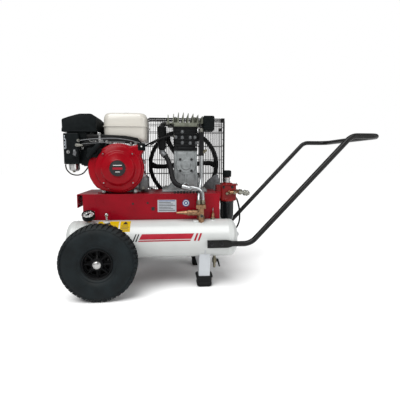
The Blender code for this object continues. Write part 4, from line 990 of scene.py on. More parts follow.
def build_air_cleaner():
    a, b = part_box("air_cleaner_cover")
    hood = Shape("air_cleaner_hood", "moulded_black")
    profile = [(a.x + 0.001, 0.6622), (a.x + 0.0015, 0.675), (-0.6595, 0.679), (-0.66, 0.71),
        (-0.657, 0.715), (-0.63, 0.7245), (-0.6, 0.7332), (-0.585, 0.7365), (-0.545, 0.7372),
        (-0.536, 0.7355), (-0.524, 0.7265), (-0.5195, 0.72), (-0.519, 0.71), (-0.5205, 0.6622)]
    hood.add(slab(profile, a.y, b.y, bevel=0.006, segments=3))
    hood.add(block((a.x, a.y + 0.012, 0.6625), (a.x + 0.02, b.y - 0.03, 0.685), 0.005, 3))
    hood.add(block((a.x + 0.006, a.y - 0.0016, 0.6625), (-0.5185, b.y + 0.0016, 0.6672), 0.0012))
    hood.place(stands_for=("air_cleaner_cover",))
    nut = Shape("wing_nut", "zinc_plate")
    at = Vector((-0.604, -0.035, 0.7305))
    nut.add(lathe([(0, 0.01), (0.0035, 0.01), (0.0065, 0.006), (0.0065, 0), (0, 0)], at, UP, 20))
    for side in (-1, 1):
        wing = rounded(0.002, 0.013, 0.003, 0.014, 0.004)
        nut.add(slab([(at.x + side * u, at.z + v) for u, v in wing], at.y - 0.001, at.y + 0.001,
            bevel=0.0004))
    nut.place()
    dress("air_cleaner_base", "moulded_black", 0.0015)
    elbow = Shape("intake_elbow", "moulded_black")
    elbow.add(cord([(-0.612, -0.066, 0.662), (-0.6, -0.06, 0.64), (-0.585, -0.05, 0.62),
        (-0.58, -0.045, 0.6)], 0.019, 24))
    for z in (0.606, 0.622, 0.638):
        elbow.add(block((-0.6445, -0.1095, z), (-0.559, -0.106, z + 0.0022), 0.0006, 1))
    elbow.place()


def build_cylinder_cowl():
    """Pressed cowl that leads the fan's air from the shroud over the cylinder."""
    cowl = Shape("cylinder_cowl", "moulded_black")
    front = [(-0.5935, 0.533), (-0.588, 0.523), (-0.52, 0.518), (-0.505, 0.56), (-0.49, 0.609),
        (-0.495, 0.652), (-0.59, 0.66)]
    cowl.add(slab(front, -0.099, -0.096, bevel=0.0012))
    for k in range(4):
        z = 0.545 + 0.02 * k
        cowl.add(block((-0.578, -0.101, z), (-0.536, -0.0985, z + 0.005), 0.001))
    cowl.bolt((-0.583, -0.099, 0.596), -ACROSS, 0.0045, 0.005)
    bridge = [(-0.586, 0.63), (-0.335, 0.612), (-0.335, 0.62), (-0.35, 0.639), (-0.4, 0.648),
        (-0.5, 0.652), (-0.586, 0.652)]
    cowl.add(slab(bridge, -0.104, -0.101, bevel=0.0012), "black_enamel")
    cowl.place()


def build_carburettor_side():
    a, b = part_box("control_panel")
    dress("control_panel", "moulded_black", 0.0015)
    marks = Shape("panel_marks", "label_grey")
    for k, tall in enumerate((0.008, 0.012, 0.007, 0.011, 0.008)):
        z = 0.59 + 0.0125 * k
        marks.add(block((a.x + 0.004, a.y - 0.0005, z), (a.x + 0.0075, a.y + 0.0004, z + tall * 0.8)))
    marks.add(block((a.x + 0.0095, a.y - 0.0005, 0.592), (a.x + 0.0115, a.y + 0.0004, 0.632)))
    marks.place()
    detail = Shape("panel_fittings")
    detail.bolt((-0.6335, a.y, 0.5775), -ACROSS, 0.005, 0.006)
    detail.add(slab(rounded(-0.618, -0.593, 0.556, 0.592, 0.006), a.y - 0.006, a.y + 0.002, bevel=0.0015),
        "moulded_black")
    detail.add(slab([(-0.613, 0.566), (-0.602, 0.56), (-0.598, 0.575), (-0.603, 0.588), (-0.61, 0.586)],
        a.y - 0.0095, a.y - 0.005, bevel=0.001), "galvanised")
    for z in (0.538, 0.5465):
        detail.add(block((a.x + 0.006, a.y - 0.0018, z), (b.x - 0.006, a.y + 0.001, z + 0.003), 0.0006),
            "moulded_black")
    detail.add(block((-0.6365, -0.1085, 0.515), (-0.6245, -0.095, 0.53), 0.002), "cast_alloy")
    detail.place()
    dress("carburettor", "cast_alloy", 0.001)
    bowl = Shape("float_bowl", "bright_steel")
    at = Vector((-0.6225, -0.0925, 0.4985))
    bowl.add(lathe([(0, -0.003), (0.0042, -0.003), (0.0048, 0.0005), (0.014, 0.001), (0.0185, 0.0045),
        (0.02, 0.011), (0.0203, 0.029), (0.0215, 0.03), (0.0215, 0.0335), (0, 0.0335)], at, UP, 40))
    bowl.add(lathe([(0, -0.006), (0.005, -0.006), (0.0058, -0.003), (0.0058, 0), (0, 0)], at, UP, 6),
        "pale_brass")
    bowl.place()
    tube = Shape("breather_tube", "hose_rubber")
    route = [(-0.648, -0.12, 0.5262), (-0.648, -0.12, 0.518), (-0.646, -0.112, 0.503),
        (-0.632, -0.102, 0.486), (-0.608, -0.098, 0.4805), (-0.587, -0.092, 0.487), (-0.574, -0.08, 0.503),
        (-0.569, -0.066, 0.516), (-0.567, -0.052, 0.524), (-0.566, -0.0455, 0.528)]
    tube.add(cord(route, 0.0027, 12))
    tube.place(stands_for=("vent_hose",))


def build_engine_body():
    dress("engine_crankcase", "cast_alloy", 0.002)
    dress("engine_cylinder", "black_casting", 0.0006)
    dress("engine_shaft", "bright_steel")
    a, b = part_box("engine_crankcase")
    side = Shape("crankcase_ribs", "cast_alloy")
    side.add(slab([(b.x - 0.004, 0.4135), (b.x + 0.026, 0.4135), (b.x + 0.03, 0.42), (b.x + 0.03, 0.462),
        (b.x + 0.018, 0.477), (b.x - 0.004, 0.481)], a.y + 0.004, b.y - 0.02, bevel=0.004))
    for k in range(5):
        x = b.x + 0.001 + 0.0062 * k
        side.add(block((x, a.y + 0.001, 0.417), (x + 0.0022, a.y + 0.006, 0.462 - 0.0014 * k), 0.0006, 1))
    side.bolt((b.x + 0.012, a.y + 0.002, 0.4235), -ACROSS, 0.0045, 0.006, "zinc_plate")
    side.add(rod((b.x + 0.004, a.y + 0.01, 0.485), (b.x + 0.016, a.y - 0.004, 0.497), 0.009, 20, 0.002),
        "moulded_black")
    side.place()
    c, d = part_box("engine_cylinder")
    rocker = Shape("rocker_cover", "black_enamel")
    rocker.add(slab(rounded(c.y + 0.004, d.y - 0.004, 0.528, 0.606, 0.014), c.x - 0.02, c.x + 0.002, "X",
        0.004, 3))
    for y in (c.y + 0.012, d.y - 0.012):
        for z in (0.538, 0.596):
            rocker.bolt((c.x - 0.006, y, z), (-1, 0, 0), 0.0045, 0.016, "zinc_plate")
    rocker.place()
    plug = Shape("spark_plug_lead", "moulded_black")
    plug.add(rod((c.x + 0.02, d.y - 0.01, 0.602), (c.x + 0.004, d.y + 0.018, 0.64), 0.0075, 20, 0.002))
    lead = [(c.x + 0.004, d.y + 0.018, 0.64), (c.x + 0.008, d.y + 0.012, 0.652),
        (c.x + 0.03, d.y - 0.01, 0.652), (c.x + 0.06, d.y - 0.06, 0.64), (c.x + 0.085, -0.072, 0.624),
        (c.x + 0.1, -0.083, 0.614)]
    plug.add(cord(lead, 0.0035, 12), "hose_rubber")
    plug.place()


def build_muffler():
    a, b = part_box("muffler")
    can = Shape("muffler_can", "black_enamel")
    can.add(block(a, b, 0.012, 4))
    can.add(block((a.x - 0.0015, a.y + 0.036, a.z - 0.001), (b.x + 0.0015, a.y + 0.04, b.z + 0.001), 0.001))
    outlet_y, outlet_z = b.y - 0.026, b.z - 0.03
    can.add(lathe([(0.0085, -0.004), (0.0125, -0.004), (0.0125, 0.008), (0.0105, 0.01), (0.0085, 0.008),
        (0.0085, -0.004)], (a.x, outlet_y, outlet_z), (-1, 0, 0), 28), "zinc_plate")
    # Dark disc across the outlet's bore: painted shade inside the pipe.
    can.add(rod((a.x + 0.001, outlet_y, outlet_z), (a.x - 0.001, outlet_y, outlet_z), 0.0085, 24),
        "dark_print_and_painted_shade")
    can.place(stands_for=("muffler",))
    guard = Shape("muffler_guard")
    for row in range(6):
        z = a.z + 0.016 + 0.0165 * row
        for column in range(2):
            guard_slot(guard, a.y + 0.008 + 0.034 * column, z, 0.026, b.x, "X")
        for column in range(2):
            guard_slot(guard, a.x + 0.009 + 0.029 * column, z, 0.024, b.y, "Y")
    guard.place()


def guard_slot(guard, left, z, wide, face, normal):
    """One slot in the muffler guard: its raised rim, and a dark plate in the opening as painted shade."""
    rim = rounded(left, left + wide, z, z + 0.0075, 0.0036)
    gap = rounded(left + 0.003, left + wide - 0.003, z + 0.0022, z + 0.0055, 0.0016)
    guard.add(slab(rim, face - 0.0005, face + 0.0016, normal, 0.0006, 1), "black_enamel")
    guard.add(slab(gap, face + 0.001, face + 0.002, normal), "dark_print_and_painted_shade")


# ---------------------------------------------------------------- pump
def build_pump_case():
    dress("pump_crankcase", "cast_alloy", 0.002)
    dress("bearing_cover", "cast_alloy", 0.0008)
    a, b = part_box("pump_crankcase")
    x, z, face = PUMP.x, PUMP.z, PUMP_FACE
    case = Shape("crankcase_castings", "cast_alloy")
    panel = [(x - 0.037, 0.4285), (x + 0.037, 0.4285), (x + 0.037, 0.583), (x - 0.037, 0.583)]
    case.add(slab(panel, face - 0.0035, face + 0.002, bevel=0.0018))
    for u in (-0.0495, 0.0425):
        case.add(block((x + u, face - 0.0022, 0.43), (x + u + 0.007, face + 0.002, 0.584), 0.0018))
    case.add(block((x - 0.0026, face - 0.008, 0.556), (x + 0.0026, face, 0.579), 0.0016))
    case.add(block((x - 0.0032, face - 0.0085, 0.432), (x + 0.0032, face, 0.486), 0.0018))
    case.add(lathe([(0, 0.0085), (0.008, 0.0085), (0.0135, 0.005), (0.015, 0)], (x, face - 0.001, 0.432),
        -ACROSS, 32))
    case.add(block((a.x + 0.002, face - 0.006, BASE_TOP + 0.0005), (b.x - 0.002, face + 0.004, 0.413),
        0.002))
    for k in range(9):
        left = x - 0.055 + 0.0135 * k
        case.add(block((left, face - 0.06, BASE_TOP + 0.0003), (left + 0.0095, face - 0.056, 0.4125),
            0.001, 1), "dark_print_and_painted_shade")
    for side in (-1, 1):
        edge = x + side * 0.0505
        for k in range(5):
            y = a.y + 0.018 + 0.034 * k
            web = [(edge - side * 0.001, 0.412), (edge + side * 0.036, 0.412), (edge + side * 0.01, 0.44),
                (edge - side * 0.001, 0.52)]
            case.add(slab(web, y, y + 0.005, bevel=0.0012))
    case.place()
    cover = Shape("crank_cover_face", "cast_alloy")
    front = low("bearing_cover").y
    ears = [(x + u, z + v) for u in (-0.0248, 0.0248) for v in (-0.0248, 0.0248)]
    cover.add(lathe([(0, 0.003), (0.0185, 0.003), (0.02, 0.0015), (0.0335, 0.0012), (0.035, -0.001),
        (0.035, -0.006)], (x, front + 0.004, z), -ACROSS, 60))
    for u, v in ears:
        cover.add(rod((u, face, v), (u, front + 0.003, v), 0.008, 24, 0.0012))
        cover.bolt((u, front + 0.003, v), -ACROSS, 0.006, 0.005, "dark_print_and_painted_shade", False)
    cover.place()
    oil = Shape("oil_fittings", "galvanised")
    glass_at = Vector((x, face - 0.008, 0.432))
    oil.add(lathe([(0, 0.003), (0.006, 0.003), (0.0085, 0.0045), (0.0105, 0.0035), (0.011, 0)], glass_at,
        -ACROSS, 32))
    oil.add(lathe([(0, 0.0035), (0.0055, 0.003), (0.006, 0.002)], glass_at, -ACROSS, 24), "yellow_brass")
    filler = Vector((x + 0.062, 0.03, 0.468))
    oil.add(rod(filler - Vector((0.014, 0, 0)), filler + Vector((0.004, 0, 0.003)), 0.0105, 24, 0.002),
        "cast_alloy")
    oil.add(rod(filler + Vector((0.004, 0, 0.003)), filler + Vector((0.016, 0, 0.006)), 0.0125, 12, 0.002),
        "moulded_black")
    elbow_at = Vector((x + 0.07, face - 0.012, 0.574))
    oil.add(rod(elbow_at, elbow_at + Vector((0.016, 0, 0.012)), 0.007, 6, 0.0008), "pale_brass")
    oil.add(rod(elbow_at + Vector((0.016, 0, 0.012)), elbow_at + Vector((0.021, 0, 0.016)), 0.0052, 20,
        0.0006), "pale_brass")
    oil.add(cord([(x + 0.048, face + 0.01, 0.566), (x + 0.06, face - 0.004, 0.5675), elbow_at], 0.004, 12),
        "pipe_alloy")
    oil.place()


def build_cylinder_block():
    dress("cylinder_block", "black_casting", 0.001)
    dress("piston_near", "bright_steel")
    dress("piston_far", "bright_steel")
    a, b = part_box("cylinder_block")
    x = (a.x + b.x) / 2
    studs = Shape("block_bolts", "black_casting")
    studs.add(block((x - 0.036, a.y - 0.004, 0.591), (x + 0.036, a.y + 0.004, 0.603), 0.002))
    for u, v in ((-0.015, 0.6205), (-0.015, 0.643), (-0.015, 0.668), (0.02, 0.643), (0.02, 0.619),
            (0.041, 0.644), (0.047, 0.619), (-0.043, 0.644)):
        studs.bolt((x + u, a.y + (0.0003 if abs(u) < 0.04 else 0.001), v), -ACROSS, 0.005, 0.006,
            "galvanised")
    studs.place()
    fins = Shape("block_fins", "black_casting")
    for k in range(7):
        z = 0.606 + 0.0125 * k
        for y0, y1 in ((a.y - 0.003, a.y + 0.01), (b.y - 0.01, b.y + 0.003)):
            fins.add(slab(rounded(a.x - 0.002, b.x + 0.002, min(y0, y1), max(y0, y1), 0.004, 3), z,
                z + 0.003, "Z", 0.0008, 1))
    fins.place()


def build_head():
    a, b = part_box("pump_head")
    tips = [0.7405, 0.744, 0.75, 0.75, 0.748, 0.746, 0.742, 0.736]
    thick, foot, step = 0.0028, 0.707, a.z + 0.0125
    pitch = (b.x - a.x - 0.0055) / (len(tips) - 1)
    head = Shape("head_casting", "head_alloy")
    head.add(block((PUMP.x - 0.052, a.y, a.z), (PUMP.x + 0.052, b.y, step + 0.001), 0.0025, 3))
    head.add(block((a.x, a.y + 0.001, step), (b.x, b.y - 0.001, foot), 0.0018))
    for number, tip in enumerate(tips):
        x = a.x + number * pitch + 0.0027
        lean = 0.003 if 0 < number < 7 else 0.0
        fin = [(x - 0.0042, foot - 0.002), (x + 0.0042, foot - 0.002), (x + thick / 2 + lean, tip - 0.001),
            (x + lean, tip), (x - thick / 2 + lean, tip - 0.001)]
        head.add(slab(fin, a.y + 0.001, b.y - 0.001, bevel=0.0007))
    for y0 in (a.y + 0.018, -0.01, b.y - 0.038):
        for x0 in (a.x + 1.5 * pitch + 0.003, a.x + 5.5 * pitch + 0.003):
            head.add(rod((x0, y0 + 0.01, foot - 0.002), (x0, y0 + 0.01, foot + 0.018), 0.0085, 20, 0.001))
            head.bolt((x0, y0 + 0.01, foot + 0.018), UP, 0.0055, 0.007, "zinc_plate")
    head.place(stands_for=("pump_head",))
    gasket = Shape("head_gasket", "dark_print_and_painted_shade")
    gasket.add(block((a.x + 0.022, a.y + 0.003, a.z - 0.0008), (b.x - 0.024, b.y - 0.003, a.z + 0.0012),
        0.0003, 1))
    gasket.place()
    dress("intake_filter", "moulded_black", 0.003)
    c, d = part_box("intake_filter")
    louvres = Shape("intake_louvres", "moulded_black")
    for k in range(8):
        z = c.z + 0.007 + 0.0068 * k
        louvres.add(block((c.x + 0.005, c.y - 0.0012, z), (d.x - 0.005, c.y + 0.001, z + 0.0028), 0.0008,
            1))
        louvres.add(block((d.x - 0.001, c.y + 0.006, z), (d.x + 0.0012, d.y - 0.006, z + 0.0028), 0.0008,
            1))
    louvres.add(rod((c.x - 0.01, (c.y + d.y) / 2, c.z + 0.022), (c.x + 0.002, (c.y + d.y) / 2,
        c.z + 0.022), 0.011, 24), "black_enamel")
    louvres.place()


def build_cooler():
    a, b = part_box("cooler_column")
    x, y = (a.x + b.x) / 2, (a.y + b.y) / 2
    chain = [(0, b.z), (0.012, b.z), (0.012, b.z - 0.002)]
    count, core = 21, 0.0155
    pitch = (b.z - a.z - 0.012) / count
    for k in range(count):
        z = b.z - 0.006 - k * pitch
        chain += [(core, z), (0.02, z - 0.0002), (0.0204, z - 0.0014), (0.02, z - 0.0026),
            (core, z - 0.0029)]
    chain += [(core, a.z + 0.004), (0.011, a.z + 0.003), (0.011, a.z), (0, a.z)]
    cooler = Shape("finned_cooler", "black_casting").add(lathe(chain, (x, y, 0), UP, 40))
    top = [(x, y, b.z - 0.002), (x, y, b.z + 0.002), (x + 0.004, y, b.z + 0.006),
        (x + 0.012, y, b.z + 0.008), (-0.2215, y, b.z + 0.008)]
    cooler.add(cord(top, 0.0075, 20), "black_enamel")
    cooler.add(rod((-0.2285, y, b.z + 0.008), (-0.221, y, b.z + 0.008), 0.0105, 6, 0.001), "zinc_plate")
    cooler.place(stands_for=("cooler_column",))
    strap = Shape("cooler_strap", "black_enamel")
    strap.add(slab([(x - 0.004, b.z), (-0.186, b.z), (-0.186, b.z + 0.003), (x - 0.004, b.z + 0.003)],
        y + 0.012, y + 0.03, bevel=0.0006))
    strap.place()
    line = Shape("pilot_line", "hose_rubber")
    route = [(-0.297, -0.1, 0.61), (-0.286, -0.101, 0.615), (-0.27, -0.103, 0.6265),
        (-0.256, -0.105, 0.6345)]
    line.add(cord(route, 0.0032, 10))
    loop = [(-0.256, -0.105, 0.6345), (-0.245, -0.106, 0.639), (-0.231, -0.104, 0.644),
        (-0.215, -0.098, 0.648), (-0.196, -0.091, 0.648)]
    line.add(cord(loop, 0.0032, 10))
    line.add(rod((-0.1975, -0.0915, 0.648), (-0.1935, -0.0895, 0.648), 0.0058, 6), "zinc_plate")
    line.place()


def build_flywheel():
    centre, wheel_r = PUMP, (high("pump_flywheel").z - low("pump_flywheel").z) / 2
    wheel = Shape("flywheel_casting", "black_casting")
    face, deep = 0.0215, 0.01
    rim = [(wheel_r, face), (wheel_r, deep), (wheel_r - 0.01, 0.0048), (wheel_r - 0.01, -0.0048),
        (wheel_r, -deep), (wheel_r, -face), (wheel_r - 0.014, -face), (wheel_r - 0.018, -face + 0.005),
        (wheel_r - 0.018, face - 0.005), (wheel_r - 0.014, face), (wheel_r, face)]
    wheel.add(lathe(rim, centre, ACROSS, 96))
    for k in range(6):
        wheel.add(spoke(centre, 60 * k))
    hub = [(PUMP_BORE, 0.021), (0.022, 0.021), (0.026, 0.018), (0.029, 0.006), (0.033, 0.006),
        (0.033, -0.006), (0.029, -0.006), (0.026, -0.018), (0.022, -0.019), (PUMP_BORE, -0.019)]
    wheel.add(lathe([*hub, hub[0]], centre, ACROSS, 40))
    wheel.place("pump_rotor", ("pump_flywheel",))
    end = Shape("flywheel_bolt")
    tip = high("pump_crankshaft").y
    end.bolt((centre.x, tip - 0.0005, centre.z), ACROSS, 0.009, 0.007, "zinc_plate")
    end.place("pump_rotor")
    dress("pump_crankshaft", "bright_steel")
    pulley = Shape("engine_pulley_turned", "black_casting")
    groove, half = (high("engine_pulley").z - low("engine_pulley").z) / 2, 0.013
    chain = [(SHAFT_BORE, half), (0.02, half), (0.022, 0.0085), (0.044, 0.008), (0.048, half - 0.001),
        (groove - 0.001, half), (groove, half - 0.001), (groove, 0.01), (groove - 0.0105, 0.0048),
        (groove - 0.0105, -0.0048), (groove, -0.01), (groove, -half), (0.048, -half), (0.044, -0.008),
        (0.022, -0.0085), (0.02, -half), (SHAFT_BORE, -half)]
    pulley.add(lathe([*chain, chain[0]], middle("engine_pulley"), ACROSS, 64))
    pulley.place("engine_rotor", ("engine_pulley",))


def spoke(centre, turn):
    """Curved, tapering arm of the flywheel with a rounded section."""
    rings = []
    for radius, wide, deep, bow in ((0.026, 0.015, 0.0075, 0.0), (0.06, 0.0125, 0.0065, 4.0),
            (0.1, 0.011, 0.006, 5.0), (0.135, 0.012, 0.0062, 3.5), (0.16, 0.0165, 0.0085, 0.0)):
        a = math.radians(turn + bow)
        out, across = Vector((math.cos(a), 0, math.sin(a))), Vector((-math.sin(a), 0, math.cos(a)))
        base = centre + out * radius
        turns = [2 * math.pi * k / 14 for k in range(14)]
        rings.append([base + across * wide * math.cos(t) + ACROSS * deep * math.sin(t) for t in turns])
    return loft(rings)


def belt_outline(big, small):
    dx, dz = ENGINE.x - PUMP.x, middle("engine_pulley").z - PUMP.z
    apart, lean = math.hypot(dx, dz), math.degrees(math.atan2(dz, dx))
    open_angle = math.degrees(math.acos((big - small) / apart))
    wrap = arc((PUMP.x, PUMP.z), big, lean + open_angle, lean + 360 - open_angle, 72)
    return wrap + arc((ENGINE.x, middle("engine_pulley").z), small, lean - open_angle, lean + open_angle,
        36)


def build_belt():
    wheel_r = (high("pump_flywheel").z - low("pump_flywheel").z) / 2
    pulley_r = (high("engine_pulley").z - low("engine_pulley").z) / 2
    y = middle("v_belt").y
    rings = []
    sections = ((0.0005, -0.0045), (0.0008, -0.004), (0.0008, 0.004), (0.0005, 0.0045), (0.0075, 0.0036),
        (0.008, 0.003), (0.008, -0.003), (0.0075, -0.0036))
    loops = [belt_outline(wheel_r - inset, pulley_r - inset) for inset, _ in sections]
    for k in range(len(loops[0])):
        rings.append([(loop[k][0], y + offset, loop[k][1]) for loop, (_, offset) in zip(loops, sections)])
    rings.append(rings[0])
    Shape("drive_belt", "hose_rubber").add(loft(rings, False)).place(stands_for=("v_belt",))


# ---------------------------------------------------------------- belt guard
def guard_outline():
    a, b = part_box("belt_guard")
    return [(b.x, a.z), (b.x, b.z), (-0.31, b.z), (a.x, 0.64), (a.x, 0.4), (-0.44, a.z)]


def crossing(outline, at, axis):
    """Where a straight line at `at` along the other axis enters and leaves a convex outline."""
    hits = []
    for p, q in zip(outline, outline[1:] + outline[:1]):
        if (p[axis] - at) * (q[axis] - at) < 0:
            t = (at - p[axis]) / (q[axis] - p[axis])
            hits.append(p[1 - axis] + t * (q[1 - axis] - p[1 - axis]))
    return min(hits), max(hits)


def guard_panel(guard, outline, y, first, wire_r=0.00115):
    """One face of the guard: close upright wires, and crosswise ones wide apart."""
    a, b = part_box("belt_guard")
    pitch = 0.0089
    count = int((b.x - a.x - 2 * first) / pitch)
    for k in range(count + 1):
        x = b.x - first - k * pitch
        if x < a.x + 0.004:
            continue
        z0, z1 = crossing(outline, x, 0)
        guard.add(pipe([(x, y, z0), (x, y, z1)], wire_r, 6), "black_enamel")
    for z in (b.z - 0.01, b.z - 0.032, b.z - 0.069, b.z - 0.138, b.z - 0.207, b.z - 0.276, b.z - 0.345,
            b.z - 0.4):
        x0, x1 = crossing(outline, z, 1)
        guard.add(pipe([(x0, y + 0.0018, z), (x1, y + 0.0018, z)], wire_r * 1.15, 6), "black_enamel")


def build_guard():
    a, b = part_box("belt_guard")
    outline = guard_outline()
    near_y, far_y = a.y + 0.004, b.y - 0.004
    guard = Shape("wire_guard", "black_enamel")
    guard_panel(guard, outline, near_y, 0.008)
    guard_panel(guard, outline, far_y, 0.0115)
    frame_r, tie_pitch = 0.004, 0.03
    shrink = []
    for x, z in outline:
        inward = frame_r if x < -0.4 else (-frame_r if x > 0 else 0)
        shrink.append((x + inward, z + (frame_r if z < 0.41 else -frame_r)))
    for y in (near_y, far_y):
        guard.add(pipe([(x, y, z) for x, z in shrink], frame_r, 12, loop=True))
    for p, q in zip(shrink, shrink[1:] + shrink[:1]):
        length = math.hypot(q[0] - p[0], q[1] - p[1])
        for k in range(int(length / tie_pitch)):
            t = (k + 0.5) * tie_pitch / length
            x, z = p[0] + (q[0] - p[0]) * t, p[1] + (q[1] - p[1]) * t
            guard.add(pipe([(x, near_y, z), (x, far_y, z)], 0.0015, 6))
    guard.add(block((b.x - 0.009, near_y - 0.003, a.z + 0.002), (b.x, near_y + 0.003, b.z - 0.014), 0.0015))
    guard.add(block((b.x - 0.02, near_y - 0.005, b.z - 0.022), (b.x - 0.001, near_y + 0.006, b.z), 0.002))
    guard.add(block((b.x - 0.03, near_y - 0.004, 0.69), (b.x - 0.016, near_y + 0.004, 0.706), 0.002))
    guard.add(block((b.x - 0.0245, near_y - 0.002, a.z + 0.002),
        (b.x - 0.0215, near_y + 0.002, b.z - 0.02), 0.0008))
    for x, z in ((a.x + 0.018, 0.412), (b.x - 0.012, 0.42)):
        guard.add(slab(rounded(x - 0.012, x + 0.012, z - 0.04, z + 0.012, 0.004), near_y - 0.004,
            near_y - 0.001, bevel=0.0006))
        guard.bolt((x, near_y - 0.004, z), -ACROSS, 0.005, 0.005, "zinc_plate")
    guard.place(stands_for=("belt_guard",))


# ---------------------------------------------------------------- air lines and fittings
HOSE = [(-0.247, -0.08, 0.5868), (-0.247, -0.08, 0.58), (-0.24, -0.083, 0.571), (-0.229, -0.09, 0.558),
    (-0.216, -0.101, 0.53), (-0.209, -0.114, 0.5), (-0.204, -0.13, 0.47), (-0.193, -0.143, 0.449),
    (-0.176, -0.152, 0.437), (-0.156, -0.158, 0.432)]
PIPE = [(-0.154, -0.1584, 0.4318), (-0.135, -0.163, 0.43), (-0.113, -0.167, 0.428),
    (-0.092, -0.172, 0.422), (-0.08, -0.178, 0.411), (-0.0772, -0.183, 0.393), (-0.0772, -0.185, 0.375),
    (-0.0772, -0.185, 0.3606)]
RISER = [(-0.079, -0.119, 0.663), (-0.079, -0.119, 0.61), (-0.079, -0.119, 0.54), (-0.079, -0.12, 0.48),
    (-0.081, -0.127, 0.449), (-0.085, -0.143, 0.426), (-0.0905, -0.163, 0.404), (-0.094, -0.179, 0.385),
    (-0.0947, -0.185, 0.371), (-0.0947, -0.185, 0.3606)]
THIN = [(0.0924, -0.02, 0.368), (0.0955, -0.02, 0.3675), (0.1, -0.02, 0.362), (0.1065, -0.02, 0.342),
    (0.112, -0.02, 0.315), (0.114, -0.021, 0.285), (0.1115, -0.026, 0.26), (0.1, -0.036, 0.236),
    (0.08, -0.048, 0.219), (0.058, -0.058, 0.213), (0.04, -0.065, 0.213), (0.03, -0.0708, 0.213)]
DELIVERY_X, RISER_X = PIPE[-1][0], RISER[-1][0]
VALVE_Y = PIPE[-1][1]
NUT_FOOT, NUT_TOP, COLLAR_TOP = 0.3608, 0.372, 0.3785


def pipe_nut(shape, x, nut_r, collar_r):
    """Hexagon nut and round collar where a pipe enters the valve block."""
    shape.add(rod((x, VALVE_Y, NUT_FOOT), (x, VALVE_Y, NUT_TOP), nut_r, 6, 0.001), "pale_brass")
    shape.add(rod((x, VALVE_Y, NUT_TOP), (x, VALVE_Y, COLLAR_TOP), collar_r, 24, 0.001), "pale_brass")


def build_air_lines():
    hose = Shape("delivery_hose_rubber", "hose_rubber").add(cord(HOSE, 0.0105, 24))
    hose.place(stands_for=("delivery_hose",))
    ends = Shape("hose_ferrules", "pipe_alloy")
    a, b = Vector(HOSE[-2]), Vector(HOSE[-1])
    heading = (b - a).normalized()
    ends.add(lathe([(0.0075, -0.006), (0.0108, -0.006), (0.0112, -0.004), (0.0104, 0.006), (0.0092, 0.024),
        (0.0088, 0.034), (0.0072, 0.036), (0.0072, 0.0), (0.0075, -0.006)], b, heading, 28))
    for k in range(3):
        ring = b + heading * (0.01 + 0.009 * k)
        ends.add(lathe([(0.0088, -0.0014), (0.0106 - 0.0005 * k, 0), (0.0088, 0.0014), (0.0085, 0),
            (0.0088, -0.0014)], ring, heading, 28))
    upper = Vector(HOSE[2])
    lean = (Vector(HOSE[3]) - Vector(HOSE[1])).normalized()
    ends.add(lathe([(0.0105, -0.008), (0.0128, -0.008), (0.0132, -0.006), (0.0132, 0.01), (0.0126, 0.012),
        (0.0105, 0.012), (0.0105, -0.008)], upper, lean, 28), "galvanised")
    top = Vector(HOSE[0])
    ends.add(lathe([(0.009, -0.016), (0.0125, -0.016), (0.013, -0.014), (0.013, 0), (0.0105, 0.0015),
        (0.009, 0.0015), (0.009, -0.016)], top, UP, 28), "galvanised")
    ends.place()
    metal = Shape("delivery_pipe_bright", "pipe_alloy").add(cord(PIPE, 0.007, 20))
    pipe_nut(metal, DELIVERY_X, 0.0105, 0.0088)
    metal.place(stands_for=("delivery_pipe",))
    riser = Shape("riser_tube", "pipe_alloy")
    route = smooth_route(RISER)
    split = min(range(len(route)), key=lambda k: abs(route[k].z - 0.561))
    riser.add(pipe(route[split - 1:], 0.0082, 20))
    riser.add(pipe(route[:split + 1], 0.0095, 20), "hose_rubber")
    riser.add(rod(route[0], route[0] + Vector((0, 0, 0.016)), 0.0098, 6, 0.001), "zinc_plate")
    riser.add(cord([route[0] + Vector((0, 0, 0.012)), route[0] + Vector((0, 0.001, 0.022)),
        route[0] + Vector((-0.002, 0.016, 0.031)), (-0.082, -0.088, 0.6985)], 0.0072, 20), "black_enamel")
    pipe_nut(riser, RISER_X, 0.0112, 0.0098)
    riser.place(stands_for=("riser_pipe",))
    thin = Shape("regulator_line", "hose_rubber").add(cord(THIN, 0.004, 16))
    thin.add(rod((0.0915, -0.02, 0.368), (0.0975, -0.02, 0.3665), 0.006, 6, 0.0008), "zinc_plate")
    thin.add(rod((0.033, -0.069, 0.213), (0.024, -0.075, 0.213), 0.0068, 6, 0.0008), "pale_brass")
    thin.place(stands_for=("regulator_hose",))


